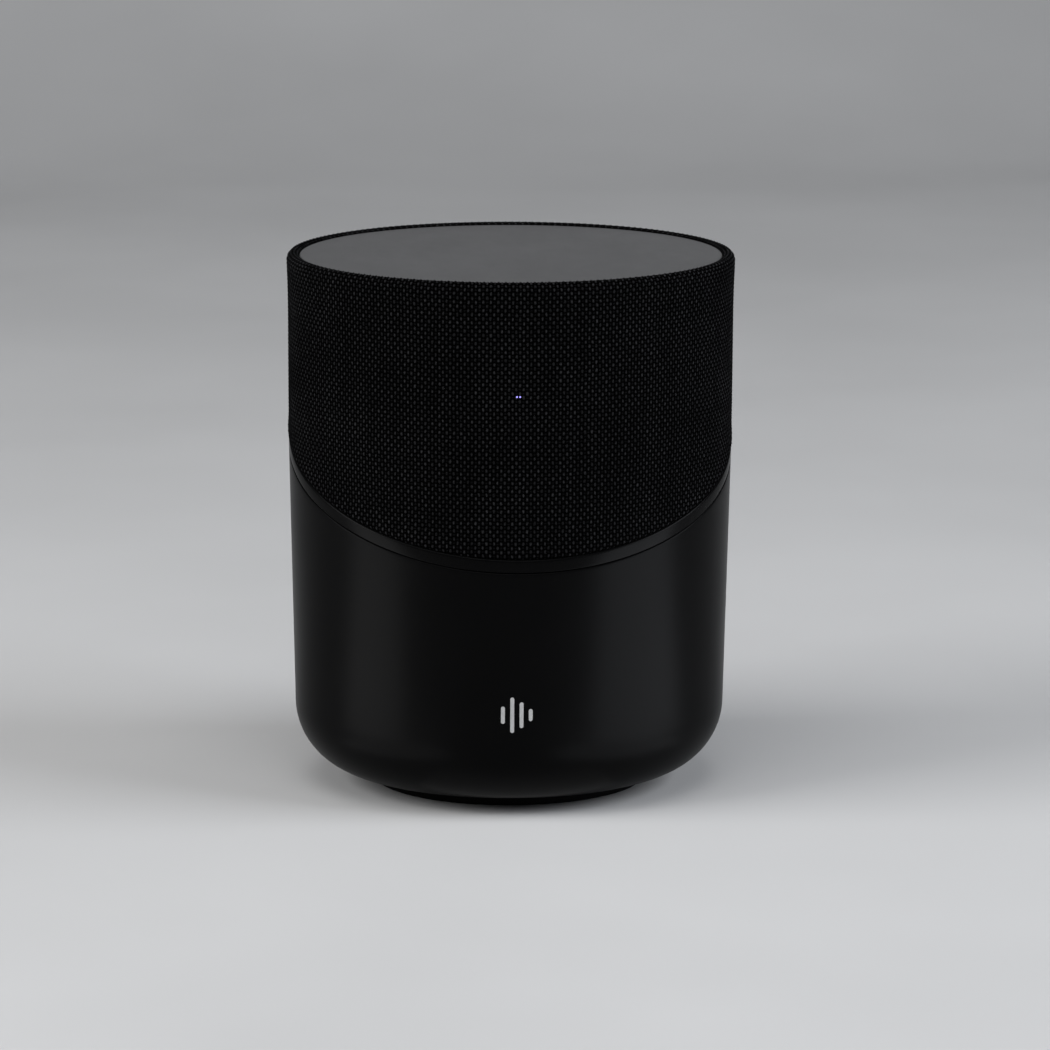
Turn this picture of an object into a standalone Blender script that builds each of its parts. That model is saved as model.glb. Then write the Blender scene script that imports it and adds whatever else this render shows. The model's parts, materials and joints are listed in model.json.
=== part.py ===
"""A compact one-piece smart speaker: an oval cup-shaped lower shell, a slanted trim band, a fabric
covered upper drum with a touch panel on top, and what it holds inside. Metres, +Z up, front is -Y.
The origin is on the floor under the middle of the body."""

import math

import bmesh
import bpy
from mathutils import Vector

# Driving dimensions of the body. Half widths run along X; depths are the widths times DEPTH_RATIO.
DEPTH_RATIO = 0.87
HALF_WIDTH = 0.0867
FOOT_HEIGHT = 0.0045
PANEL_TOP = 0.2091
RIM_TOP = 0.2098
RIM_BULGE = 0.0003
RIM_BULGE_HEIGHT = 0.2068
SHELL_DRAFT = 0.0205
DRAFT_START = 0.161
DRAFT_FULL = 0.121
CORNER_RADIUS = 0.0275
WALL = 0.0028
GAP = 0.0003
BODY_STEPS = 48
CUTTER_REACH = 0.25

# Walls are turned between these heights and then cut along the slant.
ROUGH_TOP = 0.1900
ROUGH_LOW = 0.0900

# The slanted split between the shell and the fabric. Heights are taken on the body's axis.
SPLIT_TILT = math.radians(24.9)
SPLIT_HEIGHT = 0.1382
BAND_HEIGHT = 0.0050
BAND_WALL = 0.0034

# Upper drum.
FABRIC_THICKNESS = 0.0010
FABRIC_ROLL = 0.0024
FRAME_WALL = 0.0022
FRAME_TOP = 0.2050
SLOT_COLUMNS = 20
SLOT_WIDTH = 0.0110
SLOT_RIB = 0.0050
SLOT_TOP = 0.1930
SLOT_LONGEST = 0.0420
PANEL_HALF_WIDTH = 0.0821
PANEL_THICKNESS = 0.0020
GASKET_WIDTH = 0.0040
GASKET_THICKNESS = 0.0008
GUIDE_HALF_WIDTH = 0.0700
GUIDE_THICKNESS = 0.0007
TOUCH_BOARD_THICKNESS = 0.0012
TRAY_LEDGE = 0.0050
TRAY_STEP = 0.0058
TRAY_DEPTH = 0.0080
MICROPHONE_X = 0.0550

# Base.
BASE_OPENING = 0.0520
FOOT_OUTER = 0.0540
FOOT_INNER = 0.0480
BASE_SCREW_X = 0.0445
BASE_SCREW_Y = 0.0385
BASE_SCREWS = ((BASE_SCREW_X, 0.0), (0.0, BASE_SCREW_Y), (-BASE_SCREW_X, 0.0), (0.0, -BASE_SCREW_Y))
BASE_PLATE_LOW = 0.0048
BASE_PLATE_HIGH = 0.0072
BOSS_RADIUS = 0.0042
BOSS_TOP = 0.0135
RIB_THICKNESS = 0.0030

# Woofer. Heights here run along the woofer's own axis, from the baffle's front face.
WOOFER_HEIGHT = 0.1311
BAFFLE_THICKNESS = 0.0040
WOOFER_FLANGE = 0.0665
WOOFER_HOLE = 0.0580
WOOFER_SCREW_CIRCLE = 0.0622
WOOFER_STEPS = 32
FLANGE_TOP = 0.0033
FLANGE_LOW = 0.0003
BASKET_FLOOR = -0.0340
BASKET_SHEET = 0.0020
CONE_EDGE = 0.0442
COIL_INNER = 0.0125
COIL_OUTER = 0.0135
SPIDER_OUTER = 0.0383
WASHER_TOP = -0.0363
WASHER_LOW = -0.0413
MAGNET_RADIUS = 0.0420
MAGNET_LOW = -0.0556
POLE_RADIUS = 0.0120
MOTOR_RADIUS = 0.0400
MOTOR_LOW = -0.0609
MOTOR_STEPS = 24

# Tweeters.
TWEETER_X = 0.0420
TWEETER_Y = -0.0480
TWEETER_Z = 0.1720
TWEETER_TOE_OUT = math.radians(30)
TWEETER_FACE = 0.0170
TWEETER_DOME = 0.0118
TWEETER_BORE = 0.0140
TWEETER_MOTOR = 0.0136
TWEETER_STEPS = 20

# Boards.
POWER_BOARD_LOW = 0.0150
MAIN_BOARD_LOW = 0.0395
BOARD_THICKNESS = 0.0016
POST_X = 0.0350
POST_Y = 0.0250
POST_RADIUS = 0.0023
SHOULDER_RADIUS = 0.0038
CAPACITOR_RADIUS = 0.0080
CAPACITOR_TOP = 0.0355
HEATSINK_TOP = 0.0540
FIN_PITCH = 0.0060
ANTENNA_X = 0.0778
LED_X = -0.0020
LED_HEIGHT = 0.1668
LED_SPACING = 0.0012

# The flat cable from the touch board to the main board.
RIBBON_X = 0.0350
RIBBON_WIDTH = 0.0100
RIBBON_Y = 0.0600
RIBBON_TOP_Y = 0.0420
RIBBON_TOP = 0.2040
RIBBON_TURN = 0.1958
RIBBON_LOW = 0.0450
RIBBON_BEND = 0.0025

# Rear connector panel: a tray let into the back wall of the shell.
PANEL_Z_LOW = 0.0360
PANEL_Z_HIGH = 0.0620
TRAY_HALF_WIDTH = 0.0310
TRAY_RIM = 0.0020
TRAY_FLOOR_FRONT = 0.0655
TRAY_FLOOR_BACK = 0.0633
INLET_X = -0.0170
INLET_Z = 0.0490
INLET_DEPTH = 0.0120
PIN_SPACING = 0.0086
AUDIO_X = 0.0165
BUTTON_X = 0.0245
SMALL_ROW_Z = 0.0555
# Name, outer corners (x, z), mouth corners (x, z), (depth of the body, depth of the mouth), finish.
SOCKETS = (
    ("mains_inlet", (-0.0262, 0.0436), (-0.0078, 0.0544), (-0.0247, 0.0451), (-0.0093, 0.0529),
     (0.0175, INLET_DEPTH), "frame"),
    ("ethernet_socket", (-0.0045, 0.0415), (0.0115, 0.0550), (-0.0027, 0.0432), (0.0097, 0.0526),
     (0.0200, 0.0140), "frame"),
    ("usb_socket", (0.0135, 0.0415), (0.0279, 0.0488), (0.0145, 0.0426), (0.0269, 0.0477),
     (0.0160, 0.0110), "steel"),
)

BLACK = (0.012, 0.012, 0.013)


def clear_scene():
    for thing in list(bpy.data.objects):
        bpy.data.objects.remove(thing, do_unlink=True)


def new_collection(name):
    made = bpy.data.collections.new(name)
    bpy.context.scene.collection.children.link(made)
    return made


clear_scene()
PARTS = new_collection("smart_speaker")
CUTTERS = new_collection("cutters")


def finish(name, colour, roughness, metallic=0.0):
    made = bpy.data.materials.new(name)
    made.use_nodes = True
    shader = made.node_tree.nodes["Principled BSDF"]
    shader.inputs["Base Color"].default_value = (*colour, 1.0)
    shader.inputs["Roughness"].default_value = roughness
    shader.inputs["Metallic"].default_value = metallic
    return made


def place(name, mesh, material=None, parent=None):
    """Adds an object: a part where it has a material, and a hidden cutter where it has none."""
    made = bpy.data.objects.new(name, mesh)
    if material is None:
        CUTTERS.objects.link(made)
        made.hide_render = True
        made.display_type = "WIRE"
    else:
        PARTS.objects.link(made)
        mesh.materials.append(material)
    made.parent = parent
    return made


def smooth(mesh, angle=35):
    mesh.shade_smooth()
    mesh.set_sharp_from_angle(angle=math.radians(angle))


def empty(name, location, rotation=(0, 0, 0)):
    made = bpy.data.objects.new(name, None)
    PARTS.objects.link(made)
    made.location = location
    made.rotation_euler = rotation
    return made


def add_box(bm, low, high):
    """Adds one box to a bmesh and returns its vertices."""
    made = bmesh.ops.create_cube(bm, size=1.0)["verts"]
    size = [h - l for l, h in zip(low, high)]
    middle = [(h + l) / 2 for l, h in zip(low, high)]
    bmesh.ops.scale(bm, vec=size, verts=made)
    bmesh.ops.translate(bm, vec=middle, verts=made)
    return made


def mesh_of(name, bm):
    mesh = bpy.data.meshes.new(name)
    bm.to_mesh(mesh)
    bm.free()
    return mesh


def box(name, low, high, material=None, bevel=0.0):
    """A box between two corners."""
    bm = bmesh.new()
    add_box(bm, low, high)
    made = place(name, mesh_of(name, bm), material)
    if bevel:
        rounding = made.modifiers.new("rounding", "BEVEL")
        rounding.width = bevel
        rounding.segments = 2
    return made


def add_cylinder(bm, radius, low, high, centre=(0, 0), steps=24):
    made = bmesh.ops.create_cone(
        bm, cap_ends=True, segments=steps, radius1=radius, radius2=radius, depth=high - low
    )["verts"]
    bmesh.ops.translate(bm, vec=(centre[0], centre[1], (low + high) / 2), verts=made)
    return made


def cylinder(name, radius, low, high, material=None, parent=None, centre=(0, 0), steps=24):
    bm = bmesh.new()
    add_cylinder(bm, radius, low, high, centre, steps)
    mesh = mesh_of(name, bm)
    smooth(mesh)
    return place(name, mesh, material, parent)


def turned(name, profile, material=None, parent=None, steps=BODY_STEPS, oval=False, closed=True):
    """Turns a profile of (radius, height) about Z. Its outer side runs from top to bottom."""
    mesh = bpy.data.meshes.new(name)
    count = len(profile)
    edges = [(i, i + 1) for i in range(count - 1)]
    if closed:
        edges.append((count - 1, 0))
    mesh.from_pydata([(r, 0, h) for r, h in profile], edges, [])
    made = place(name, mesh, material, parent)
    if oval:
        made.scale = (1, DEPTH_RATIO, 1)
    screw = made.modifiers.new("turn", "SCREW")
    screw.steps = steps
    screw.render_steps = steps
    screw.use_merge_vertices = True
    screw.merge_threshold = 0.00001
    return made


def combine(target, other, operation):
    joined = target.modifiers.new(other.name, "BOOLEAN")
    joined.operation = operation
    joined.object = other
    joined.solver = "EXACT"


def cut(target, *cutters):
    for cutter in cutters:
        combine(target, cutter, "DIFFERENCE")


def join(target, *others):
    for other in others:
        combine(target, other, "UNION")


def arc(centre, radii, start, end, count):
    """Points on an arc, angles in degrees, both ends included."""
    points = []
    for i in range(count + 1):
        angle = math.radians(start + (end - start) * i / count)
        points.append((centre[0] + radii[0] * math.cos(angle), centre[1] + radii[1] * math.sin(angle)))
    return points


def half_width(height, inset=0.0):
    """The body's half width at a height: straight above, a gentle draft below, blended smoothly."""
    if height >= DRAFT_START:
        return HALF_WIDTH - inset
    if height > DRAFT_FULL:
        drop = (DRAFT_START - height) ** 2 / (2 * (DRAFT_START - DRAFT_FULL))
    else:
        drop = (DRAFT_START + DRAFT_FULL) / 2 - height
    return HALF_WIDTH - SHELL_DRAFT * drop - inset


def wall_line(top, bottom, inset=0.0):
    """The side of the body from top to bottom, with points only where it bends."""
    bends = [DRAFT_FULL + (DRAFT_START - DRAFT_FULL) * i / 2 for i in (2, 1, 0)]
    heights = [top] + [h for h in bends if bottom < h < top] + [bottom]
    return [(half_width(h, inset), h) for h in heights]


def tilted_slab(name, low, high):
    """A cutter between two slanted planes, whose heights are given on the body's axis."""
    cosine = math.cos(SPLIT_TILT)
    bm = bmesh.new()
    add_box(bm, (-CUTTER_REACH, -CUTTER_REACH, low * cosine), (CUTTER_REACH, CUTTER_REACH, high * cosine))
    made = place(name, mesh_of(name, bm))
    made.rotation_euler = (SPLIT_TILT, 0, 0)
    return made


def above_split(height):
    return tilted_slab(f"above_{height * 1000:.1f}", height, height + CUTTER_REACH)


def below_split(height):
    return tilted_slab(f"below_{height * 1000:.1f}", height - CUTTER_REACH, height)


def slant_at(depth, height=SPLIT_HEIGHT):
    """The height of a slanted plane at a place from front (-Y) to back (+Y)."""
    return height + depth * math.tan(SPLIT_TILT)


CORNER_Z = FOOT_HEIGHT + CORNER_RADIUS
CORNER_R = half_width(CORNER_Z) - CORNER_RADIUS


def cup_profile(top, inset=0.0, floor_radius=BASE_OPENING, corner_steps=5):
    """The cup's outer line from top to floor, inset by a wall."""
    radius = CORNER_RADIUS - inset
    corner = arc((CORNER_R, CORNER_Z), (radius, radius), 0, -90, corner_steps)
    return wall_line(top, CORNER_Z, inset)[:-1] + corner + [(floor_radius, CORNER_Z - radius)]


def body_solid(name, inset):
    """A cutter that fills the body up to an inset from its outside."""
    line = cup_profile(0.2, inset, floor_radius=0.0)
    return turned(name, [(0.0, 0.2)] + line, oval=True, closed=False)


def make_finishes():
    return {
        "shell": finish("satin_black_shell", BLACK, 0.42),
        "band": finish("satin_black_band", (0.016, 0.016, 0.017), 0.36),
        "fabric": finish("black_woven_fabric", (0.010, 0.010, 0.011), 0.95),
        "frame": finish("black_moulded_frame", (0.015, 0.015, 0.015), 0.60),
        "panel": finish("grey_touch_panel", (0.105, 0.105, 0.107), 0.45),
        "rubber": finish("black_rubber", (0.010, 0.010, 0.010), 0.85),
        "board": finish("green_circuit_board", (0.012, 0.075, 0.035), 0.50),
        "steel": finish("zinc_plated_steel", (0.55, 0.55, 0.56), 0.35, 1.0),
        "dark_steel": finish("black_steel", (0.03, 0.03, 0.03), 0.45, 1.0),
        "aluminium": finish("bare_aluminium", (0.60, 0.60, 0.62), 0.40, 1.0),
        "ferrite": finish("ferrite", (0.035, 0.035, 0.038), 0.70),
        "paper": finish("coated_paper_cone", (0.018, 0.018, 0.018), 0.80),
        "cloth": finish("resin_dipped_cloth", (0.38, 0.24, 0.07), 0.90),
        "copper": finish("enamelled_copper", (0.60, 0.25, 0.10), 0.35, 1.0),
        "brass": finish("nickel_plated_pin", (0.60, 0.58, 0.52), 0.30, 1.0),
        "diffuser": finish("clear_diffuser", (0.75, 0.75, 0.78), 0.30),
        "tape": finish("transformer_tape", (0.45, 0.36, 0.06), 0.55),
        "led": finish("led_lens", (0.25, 0.20, 0.75), 0.25),
        "wire": finish("black_wire", (0.02, 0.02, 0.02), 0.55),
    }


def make_shell(f):
    """The cup: its top follows the slant, and its floor is open for the base plate."""
    profile = cup_profile(ROUGH_TOP) + cup_profile(ROUGH_TOP, WALL, corner_steps=4)[::-1]
    shell = turned("lower_shell", profile, f["shell"], oval=True)
    boss_low = BASE_PLATE_HIGH + GAP
    rib_top = BOSS_TOP - 0.0005
    reach = CORNER_R + 0.009
    ribs, bosses, holes = bmesh.new(), bmesh.new(), bmesh.new()
    for sign in (-1, 1):
        ends = sorted((sign * BASE_SCREW_X, sign * reach))
        add_box(ribs, (ends[0], -RIB_THICKNESS / 2, boss_low), (ends[1], RIB_THICKNESS / 2, rib_top))
        ends = sorted((sign * BASE_SCREW_Y, sign * reach * DEPTH_RATIO))
        add_box(ribs, (-RIB_THICKNESS / 2, ends[0], boss_low), (RIB_THICKNESS / 2, ends[1], rib_top))
    for centre in BASE_SCREWS:
        add_cylinder(bosses, BOSS_RADIUS, boss_low - 0.0001, BOSS_TOP, centre, 20)
        add_cylinder(holes, 0.0017, boss_low - 0.001, BOSS_TOP + 0.001, centre, 12)
    join(shell, place("shell_ribs", mesh_of("shell_ribs", ribs)))
    join(shell, place("shell_bosses", mesh_of("shell_bosses", bosses)))
    cut(shell, place("boss_holes", mesh_of("boss_holes", holes)))
    cut(shell, above_split(SPLIT_HEIGHT - BAND_HEIGHT - GAP))
    cut(
        shell,
        box(
            "connector_opening",
            (-TRAY_HALF_WIDTH - GAP, 0.052, PANEL_Z_LOW - GAP),
            (TRAY_HALF_WIDTH + GAP, 0.090, PANEL_Z_HIGH + GAP),
        ),
    )


def make_band(f):
    """The slanted ring between the shell and the fabric."""
    outer = wall_line(ROUGH_TOP, ROUGH_LOW)
    inner = wall_line(ROUGH_TOP, ROUGH_LOW, BAND_WALL)
    band = turned("trim_band", outer + inner[::-1], f["band"], oval=True)
    cut(band, above_split(SPLIT_HEIGHT), below_split(SPLIT_HEIGHT - BAND_HEIGHT))


def make_grille(f):
    """The slotted sleeve and the woven sock that is stretched over it and rolled over its rim."""
    outside = FABRIC_THICKNESS + GAP
    sleeve = wall_line(FRAME_TOP, ROUGH_LOW, outside)
    inside = wall_line(FRAME_TOP, ROUGH_LOW, outside + FRAME_WALL)
    frame = turned("grille_frame", sleeve + inside[::-1], f["frame"], oval=True)
    cut(frame, below_split(SPLIT_HEIGHT + GAP))
    slots = bmesh.new()
    for column in range(SLOT_COLUMNS):
        angle = 2 * math.pi * column / SLOT_COLUMNS
        across, along = math.cos(angle), math.sin(angle)
        lowest = slant_at(HALF_WIDTH * DEPTH_RATIO * along) + 2 * SLOT_RIB
        rows = max(1, math.ceil((SLOT_TOP - lowest) / SLOT_LONGEST))
        pitch = (SLOT_TOP - lowest + SLOT_RIB) / rows
        for row in range(rows):
            low = lowest + row * pitch
            slot = add_box(
                slots, (0.055, -SLOT_WIDTH / 2, low), (0.095, SLOT_WIDTH / 2, low + pitch - SLOT_RIB)
            )
            for vertex in slot:
                x, y = vertex.co.x, vertex.co.y
                vertex.co.x = x * across - y * along
                vertex.co.y = x * along + y * across
    cut(frame, place("grille_slots", mesh_of("grille_slots", slots)))
    roll_radii = (FABRIC_ROLL + RIM_BULGE, RIM_TOP - RIM_BULGE_HEIGHT)
    roll = arc((HALF_WIDTH - FABRIC_ROLL, RIM_BULGE_HEIGHT), roll_radii, 80, 0, 5)
    inner_edge = PANEL_HALF_WIDTH + GAP
    over = [(inner_edge, RIM_TOP - 0.0012), (inner_edge + 0.0008, RIM_TOP - 0.0003)]
    outer = over + roll + wall_line(RIM_BULGE_HEIGHT - 0.0060, ROUGH_LOW)
    under = wall_line(FRAME_TOP - 0.0050, ROUGH_LOW, FABRIC_THICKNESS)
    fold = [(HALF_WIDTH - FABRIC_THICKNESS, FRAME_TOP + GAP), (inner_edge, FRAME_TOP + GAP)]
    sock = turned("grille_fabric", outer + under[::-1] + fold, f["fabric"], oval=True)
    cut(sock, below_split(SPLIT_HEIGHT + GAP))


def make_top(f):
    """The touch panel and the tray, gasket, light guide and board beneath it."""
    low = PANEL_TOP - PANEL_THICKNESS
    edge = 0.0004
    disc = [(0.0, PANEL_TOP), (PANEL_HALF_WIDTH - edge, PANEL_TOP), (PANEL_HALF_WIDTH, PANEL_TOP - edge)]
    disc += [(PANEL_HALF_WIDTH, low), (0.0, low)]
    turned("touch_panel", disc, f["panel"], oval=True, closed=False)
    seal_outer = PANEL_HALF_WIDTH - 0.0005
    seal_inner = seal_outer - GASKET_WIDTH
    seal_top = low - GAP
    seal_low = seal_top - GASKET_THICKNESS
    profile = [(seal_outer, seal_top), (seal_outer, seal_low)]
    profile += [(seal_inner, seal_low), (seal_inner, seal_top)]
    turned("panel_gasket", profile, f["rubber"], oval=True)
    guide_low = seal_top - GUIDE_THICKNESS
    disc = [(0.0, seal_top), (GUIDE_HALF_WIDTH, seal_top), (GUIDE_HALF_WIDTH, guide_low), (0.0, guide_low)]
    turned("light_guide", disc, f["diffuser"], oval=True, closed=False)
    board_top = guide_low - GAP
    board_low = board_top - TOUCH_BOARD_THICKNESS
    disc = [(0.0, board_top), (GUIDE_HALF_WIDTH, board_top), (GUIDE_HALF_WIDTH, board_low), (0.0, board_low)]
    turned("touch_board", disc, f["board"], oval=True, closed=False)
    under_board = board_low - GAP
    for side, name in ((-1, "left"), (1, "right")):
        x = side * MICROPHONE_X
        low_corner = (x - 0.0019, -0.0015, under_board - 0.0012)
        box(f"microphone_{name}", low_corner, (x + 0.0019, 0.0015, under_board), f["steel"])
    make_top_plate(f, seal_low - GAP, under_board)


def make_top_plate(f, rim_top, ledge_top):
    """The tray under the touch board, with an arm and a bore for each tweeter."""
    rim = PANEL_HALF_WIDTH - 0.0002
    pocket = GUIDE_HALF_WIDTH + 0.0005
    ledge = GUIDE_HALF_WIDTH - TRAY_LEDGE
    floor_top, floor_low = rim_top - TRAY_STEP, rim_top - TRAY_DEPTH
    profile = [(0.0, floor_top), (ledge, floor_top), (ledge, ledge_top), (pocket, ledge_top)]
    profile += [(pocket, rim_top), (rim, rim_top), (rim, floor_low), (0.0, floor_low)]
    plate = turned("top_plate", profile, f["frame"], oval=True, closed=False)
    arms, holes = bmesh.new(), bmesh.new()
    for side in (-1, 1):
        turn = side * TWEETER_TOE_OUT
        arm_low = (-0.0165, 0.0012, TWEETER_Z - 0.0165)
        arm = add_box(arms, arm_low, (0.0165, 0.0042, floor_low + 0.001))
        bore = add_cylinder(holes, TWEETER_BORE, -0.010, 0.010, steps=TWEETER_STEPS)
        for vertex in bore:
            vertex.co = Vector((vertex.co.x, -vertex.co.z, TWEETER_Z + vertex.co.y))
        for vertex in list(arm) + list(bore):
            x, y = vertex.co.x, vertex.co.y
            vertex.co.x = TWEETER_X * side + x * math.cos(turn) - y * math.sin(turn)
            vertex.co.y = TWEETER_Y + x * math.sin(turn) + y * math.cos(turn)
    join(plate, place("tweeter_arms", mesh_of("tweeter_arms", arms)))
    cut(plate, place("tweeter_bores", mesh_of("tweeter_bores", holes)))
    cut(plate, cable_slot("top_cable_slot", RIBBON_TOP_Y, floor_low - 0.002, floor_top + 0.001))


def make_tweeters(f):
    """Each tweeter's local Z points out through the fabric."""
    for side, name in ((-1, "left"), (1, "right")):
        axis = empty(
            f"tweeter_{name}_axis",
            (side * TWEETER_X, TWEETER_Y, TWEETER_Z),
            (math.pi / 2, 0, side * TWEETER_TOE_OUT),
        )
        throat = TWEETER_DOME + 0.0005
        face = [(TWEETER_FACE, 0.0022), (TWEETER_FACE, -0.0009), (throat, -0.0009)]
        face += [(throat, 0.0006), (TWEETER_BORE, 0.0022)]
        turned(f"tweeter_{name}_faceplate", face, f["frame"], axis, TWEETER_STEPS)
        inside = TWEETER_DOME - 0.0007
        outer = arc((0, 0), (TWEETER_DOME, 0.0045), 90, 0, 3)
        skirt = [(TWEETER_DOME, -0.0005), (inside, -0.0005)]
        inner = arc((0, 0), (inside, 0.0039), 0, 90, 3)
        dome = [(0.0, p[1]) if i == 0 else p for i, p in enumerate(outer)]
        inner[-1] = (0.0, inner[-1][1])
        turned(f"tweeter_{name}_dome", dome + skirt + inner, f["cloth"], axis, TWEETER_STEPS, closed=False)
        motor = [(0.0, -0.0014), (TWEETER_MOTOR, -0.0014), (TWEETER_MOTOR, -0.0120)]
        motor += [(TWEETER_MOTOR - 0.0016, -0.0135), (0.0, -0.0135)]
        turned(f"tweeter_{name}_motor", motor, f["dark_steel"], axis, TWEETER_STEPS, closed=False)


def make_woofer(f):
    """A long-throw driver on a slanted baffle that is parallel to the split."""
    axis = empty("woofer_axis", (0, 0, WOOFER_HEIGHT), (SPLIT_TILT, 0, 0))
    line = wall_line(ROUGH_TOP, ROUGH_LOW, WALL + GAP)
    profile = [(0.0, ROUGH_TOP)] + line + [(0.0, ROUGH_LOW)]
    baffle = turned("woofer_baffle", profile, f["frame"], oval=True, closed=False)
    thickness = BAFFLE_THICKNESS / math.cos(SPLIT_TILT)
    cut(baffle, above_split(WOOFER_HEIGHT), below_split(WOOFER_HEIGHT - thickness))
    cut(baffle, cylinder("woofer_hole", WOOFER_HOLE, -0.03, 0.03, parent=axis, steps=WOOFER_STEPS))
    basket = make_basket(f, axis)
    holes = bmesh.new()
    for number in range(4):
        turn = math.radians(45 + 90 * number)
        spot = (WOOFER_SCREW_CIRCLE * math.cos(turn), WOOFER_SCREW_CIRCLE * math.sin(turn))
        add_cylinder(holes, 0.0021, -0.012, 0.012, spot, 12)
        make_screw(f"woofer_screw_{number + 1}", f, axis, spot, FLANGE_TOP + GAP, 0.0120)
    screw_holes = place("woofer_screw_holes", mesh_of("woofer_screw_holes", holes), parent=axis)
    cut(basket, screw_holes)
    cut(baffle, screw_holes)
    cut(baffle, cable_slot("baffle_cable_slot", RIBBON_Y, 0.12, 0.18))
    make_motor(f, axis)
    make_cone(f, axis)


def make_basket(f, axis):
    """The pressed frame, with six windows in its sides."""
    floor = BASKET_FLOOR
    outer = [(WOOFER_FLANGE, FLANGE_TOP), (WOOFER_FLANGE, FLANGE_LOW), (0.0575, FLANGE_LOW)]
    outer += [(0.0375, floor), (0.0375, floor - BASKET_SHEET), (0.0160, floor - BASKET_SHEET)]
    inner = [(0.0160, floor), (0.0350, floor), (0.0550, FLANGE_LOW), (0.0550, FLANGE_TOP)]
    basket = turned("woofer_basket", outer + inner, f["dark_steel"], axis, WOOFER_STEPS)
    windows = bmesh.new()
    for k in range(6):
        turn = math.radians(30 + 60 * k)
        for vertex in add_box(windows, (0.036, -0.0105, -0.0225), (0.066, 0.0105, -0.0065)):
            x, y = vertex.co.x, vertex.co.y
            vertex.co.x = x * math.cos(turn) - y * math.sin(turn)
            vertex.co.y = x * math.sin(turn) + y * math.cos(turn)
    cut(basket, place("basket_windows", mesh_of("basket_windows", windows), parent=axis))
    return basket


def make_motor(f, axis):
    """The washer, the magnet and the pole piece, stacked under the basket."""
    opening = 0.0140
    ring = [(MOTOR_RADIUS, WASHER_TOP), (MOTOR_RADIUS, WASHER_LOW)]
    ring += [(opening, WASHER_LOW), (opening, WASHER_TOP)]
    turned("woofer_front_washer", ring, f["steel"], axis, MOTOR_STEPS)
    top, opening = WASHER_LOW - GAP, 0.0200
    ring = [(MAGNET_RADIUS, top), (MAGNET_RADIUS, MAGNET_LOW), (opening, MAGNET_LOW), (opening, top)]
    turned("woofer_magnet", ring, f["ferrite"], axis, MOTOR_STEPS)
    seat = MAGNET_LOW - GAP
    pole = [(0.0, WASHER_TOP - 0.0002), (POLE_RADIUS, WASHER_TOP - 0.0002), (POLE_RADIUS, seat)]
    pole += [(MOTOR_RADIUS, seat), (MOTOR_RADIUS, MOTOR_LOW), (0.0, MOTOR_LOW)]
    turned("woofer_pole_piece", pole, f["steel"], axis, MOTOR_STEPS, closed=False)


def make_cone(f, axis):
    """What moves, and the surround and the spider that hold it."""
    former = COIL_OUTER - 0.0005
    coil = [(former, -0.0176), (former, -0.0350), (COIL_OUTER, -0.0350), (COIL_OUTER, -0.0440)]
    coil += [(COIL_INNER, -0.0440), (COIL_INNER, -0.0176)]
    turned("woofer_voice_coil", coil, f["copper"], axis, MOTOR_STEPS)
    neck = COIL_OUTER - 0.0001
    cone = [(CONE_EDGE, 0.0010), (CONE_EDGE, 0.0002), (0.0300, -0.0105), (neck + 0.0005, -0.0194)]
    cone += [(neck, -0.0194), (neck, -0.0184), (0.0295, -0.0094), (CONE_EDGE - 0.0010, 0.0010)]
    turned("woofer_cone", cone, f["paper"], axis, WOOFER_STEPS)
    cap_rim, cap_rise, cap_sheet = 0.0162, 0.0066, 0.0008
    outside = arc((0, -0.0162), (cap_rim, cap_rise), 90, 0, 4)
    inside = arc((0, -0.0162), (cap_rim - cap_sheet, cap_rise - cap_sheet), 0, 90, 4)
    outside[0], inside[-1] = (0.0, outside[0][1]), (0.0, inside[-1][1])
    turned("woofer_dust_cap", outside + inside, f["paper"], axis, MOTOR_STEPS, closed=False)
    middle, roll_width, roll_rise, sheet = (0.0496, 0.0012), 0.0050, 0.0046, 0.0008
    roll = arc(middle, (roll_width, roll_rise), 180, 0, 5)
    roll += arc(middle, (roll_width - sheet, roll_rise - sheet), 0, 180, 5)
    turned("woofer_surround", roll, f["rubber"], axis, WOOFER_STEPS)
    start, wave, sheet = COIL_OUTER + 0.0001, 0.0007, 0.0005
    reach = SPIDER_OUTER - start
    waves = [(start + reach * i / 6, -0.0262 + wave * (-1) ** i) for i in range(7)]
    under = [(r, h - sheet) for r, h in waves]
    turned("woofer_spider", waves + under[::-1], f["cloth"], axis, MOTOR_STEPS)


def make_screw(name, f, parent, spot, seat, length, head=0.0028, shank=0.0015):
    """A pan-head screw that points down its parent's Z, with a cross recess left to the finish."""
    profile = [(0.0, seat + 0.0020), (head * 0.75, seat + 0.0018), (head, seat + 0.0008), (head, seat)]
    profile += [(shank, seat), (shank, seat - length), (0.0, seat - length)]
    made = turned(name, profile, f["dark_steel"], parent, 10, closed=False)
    made.location = (*spot, 0)
    return made


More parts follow.
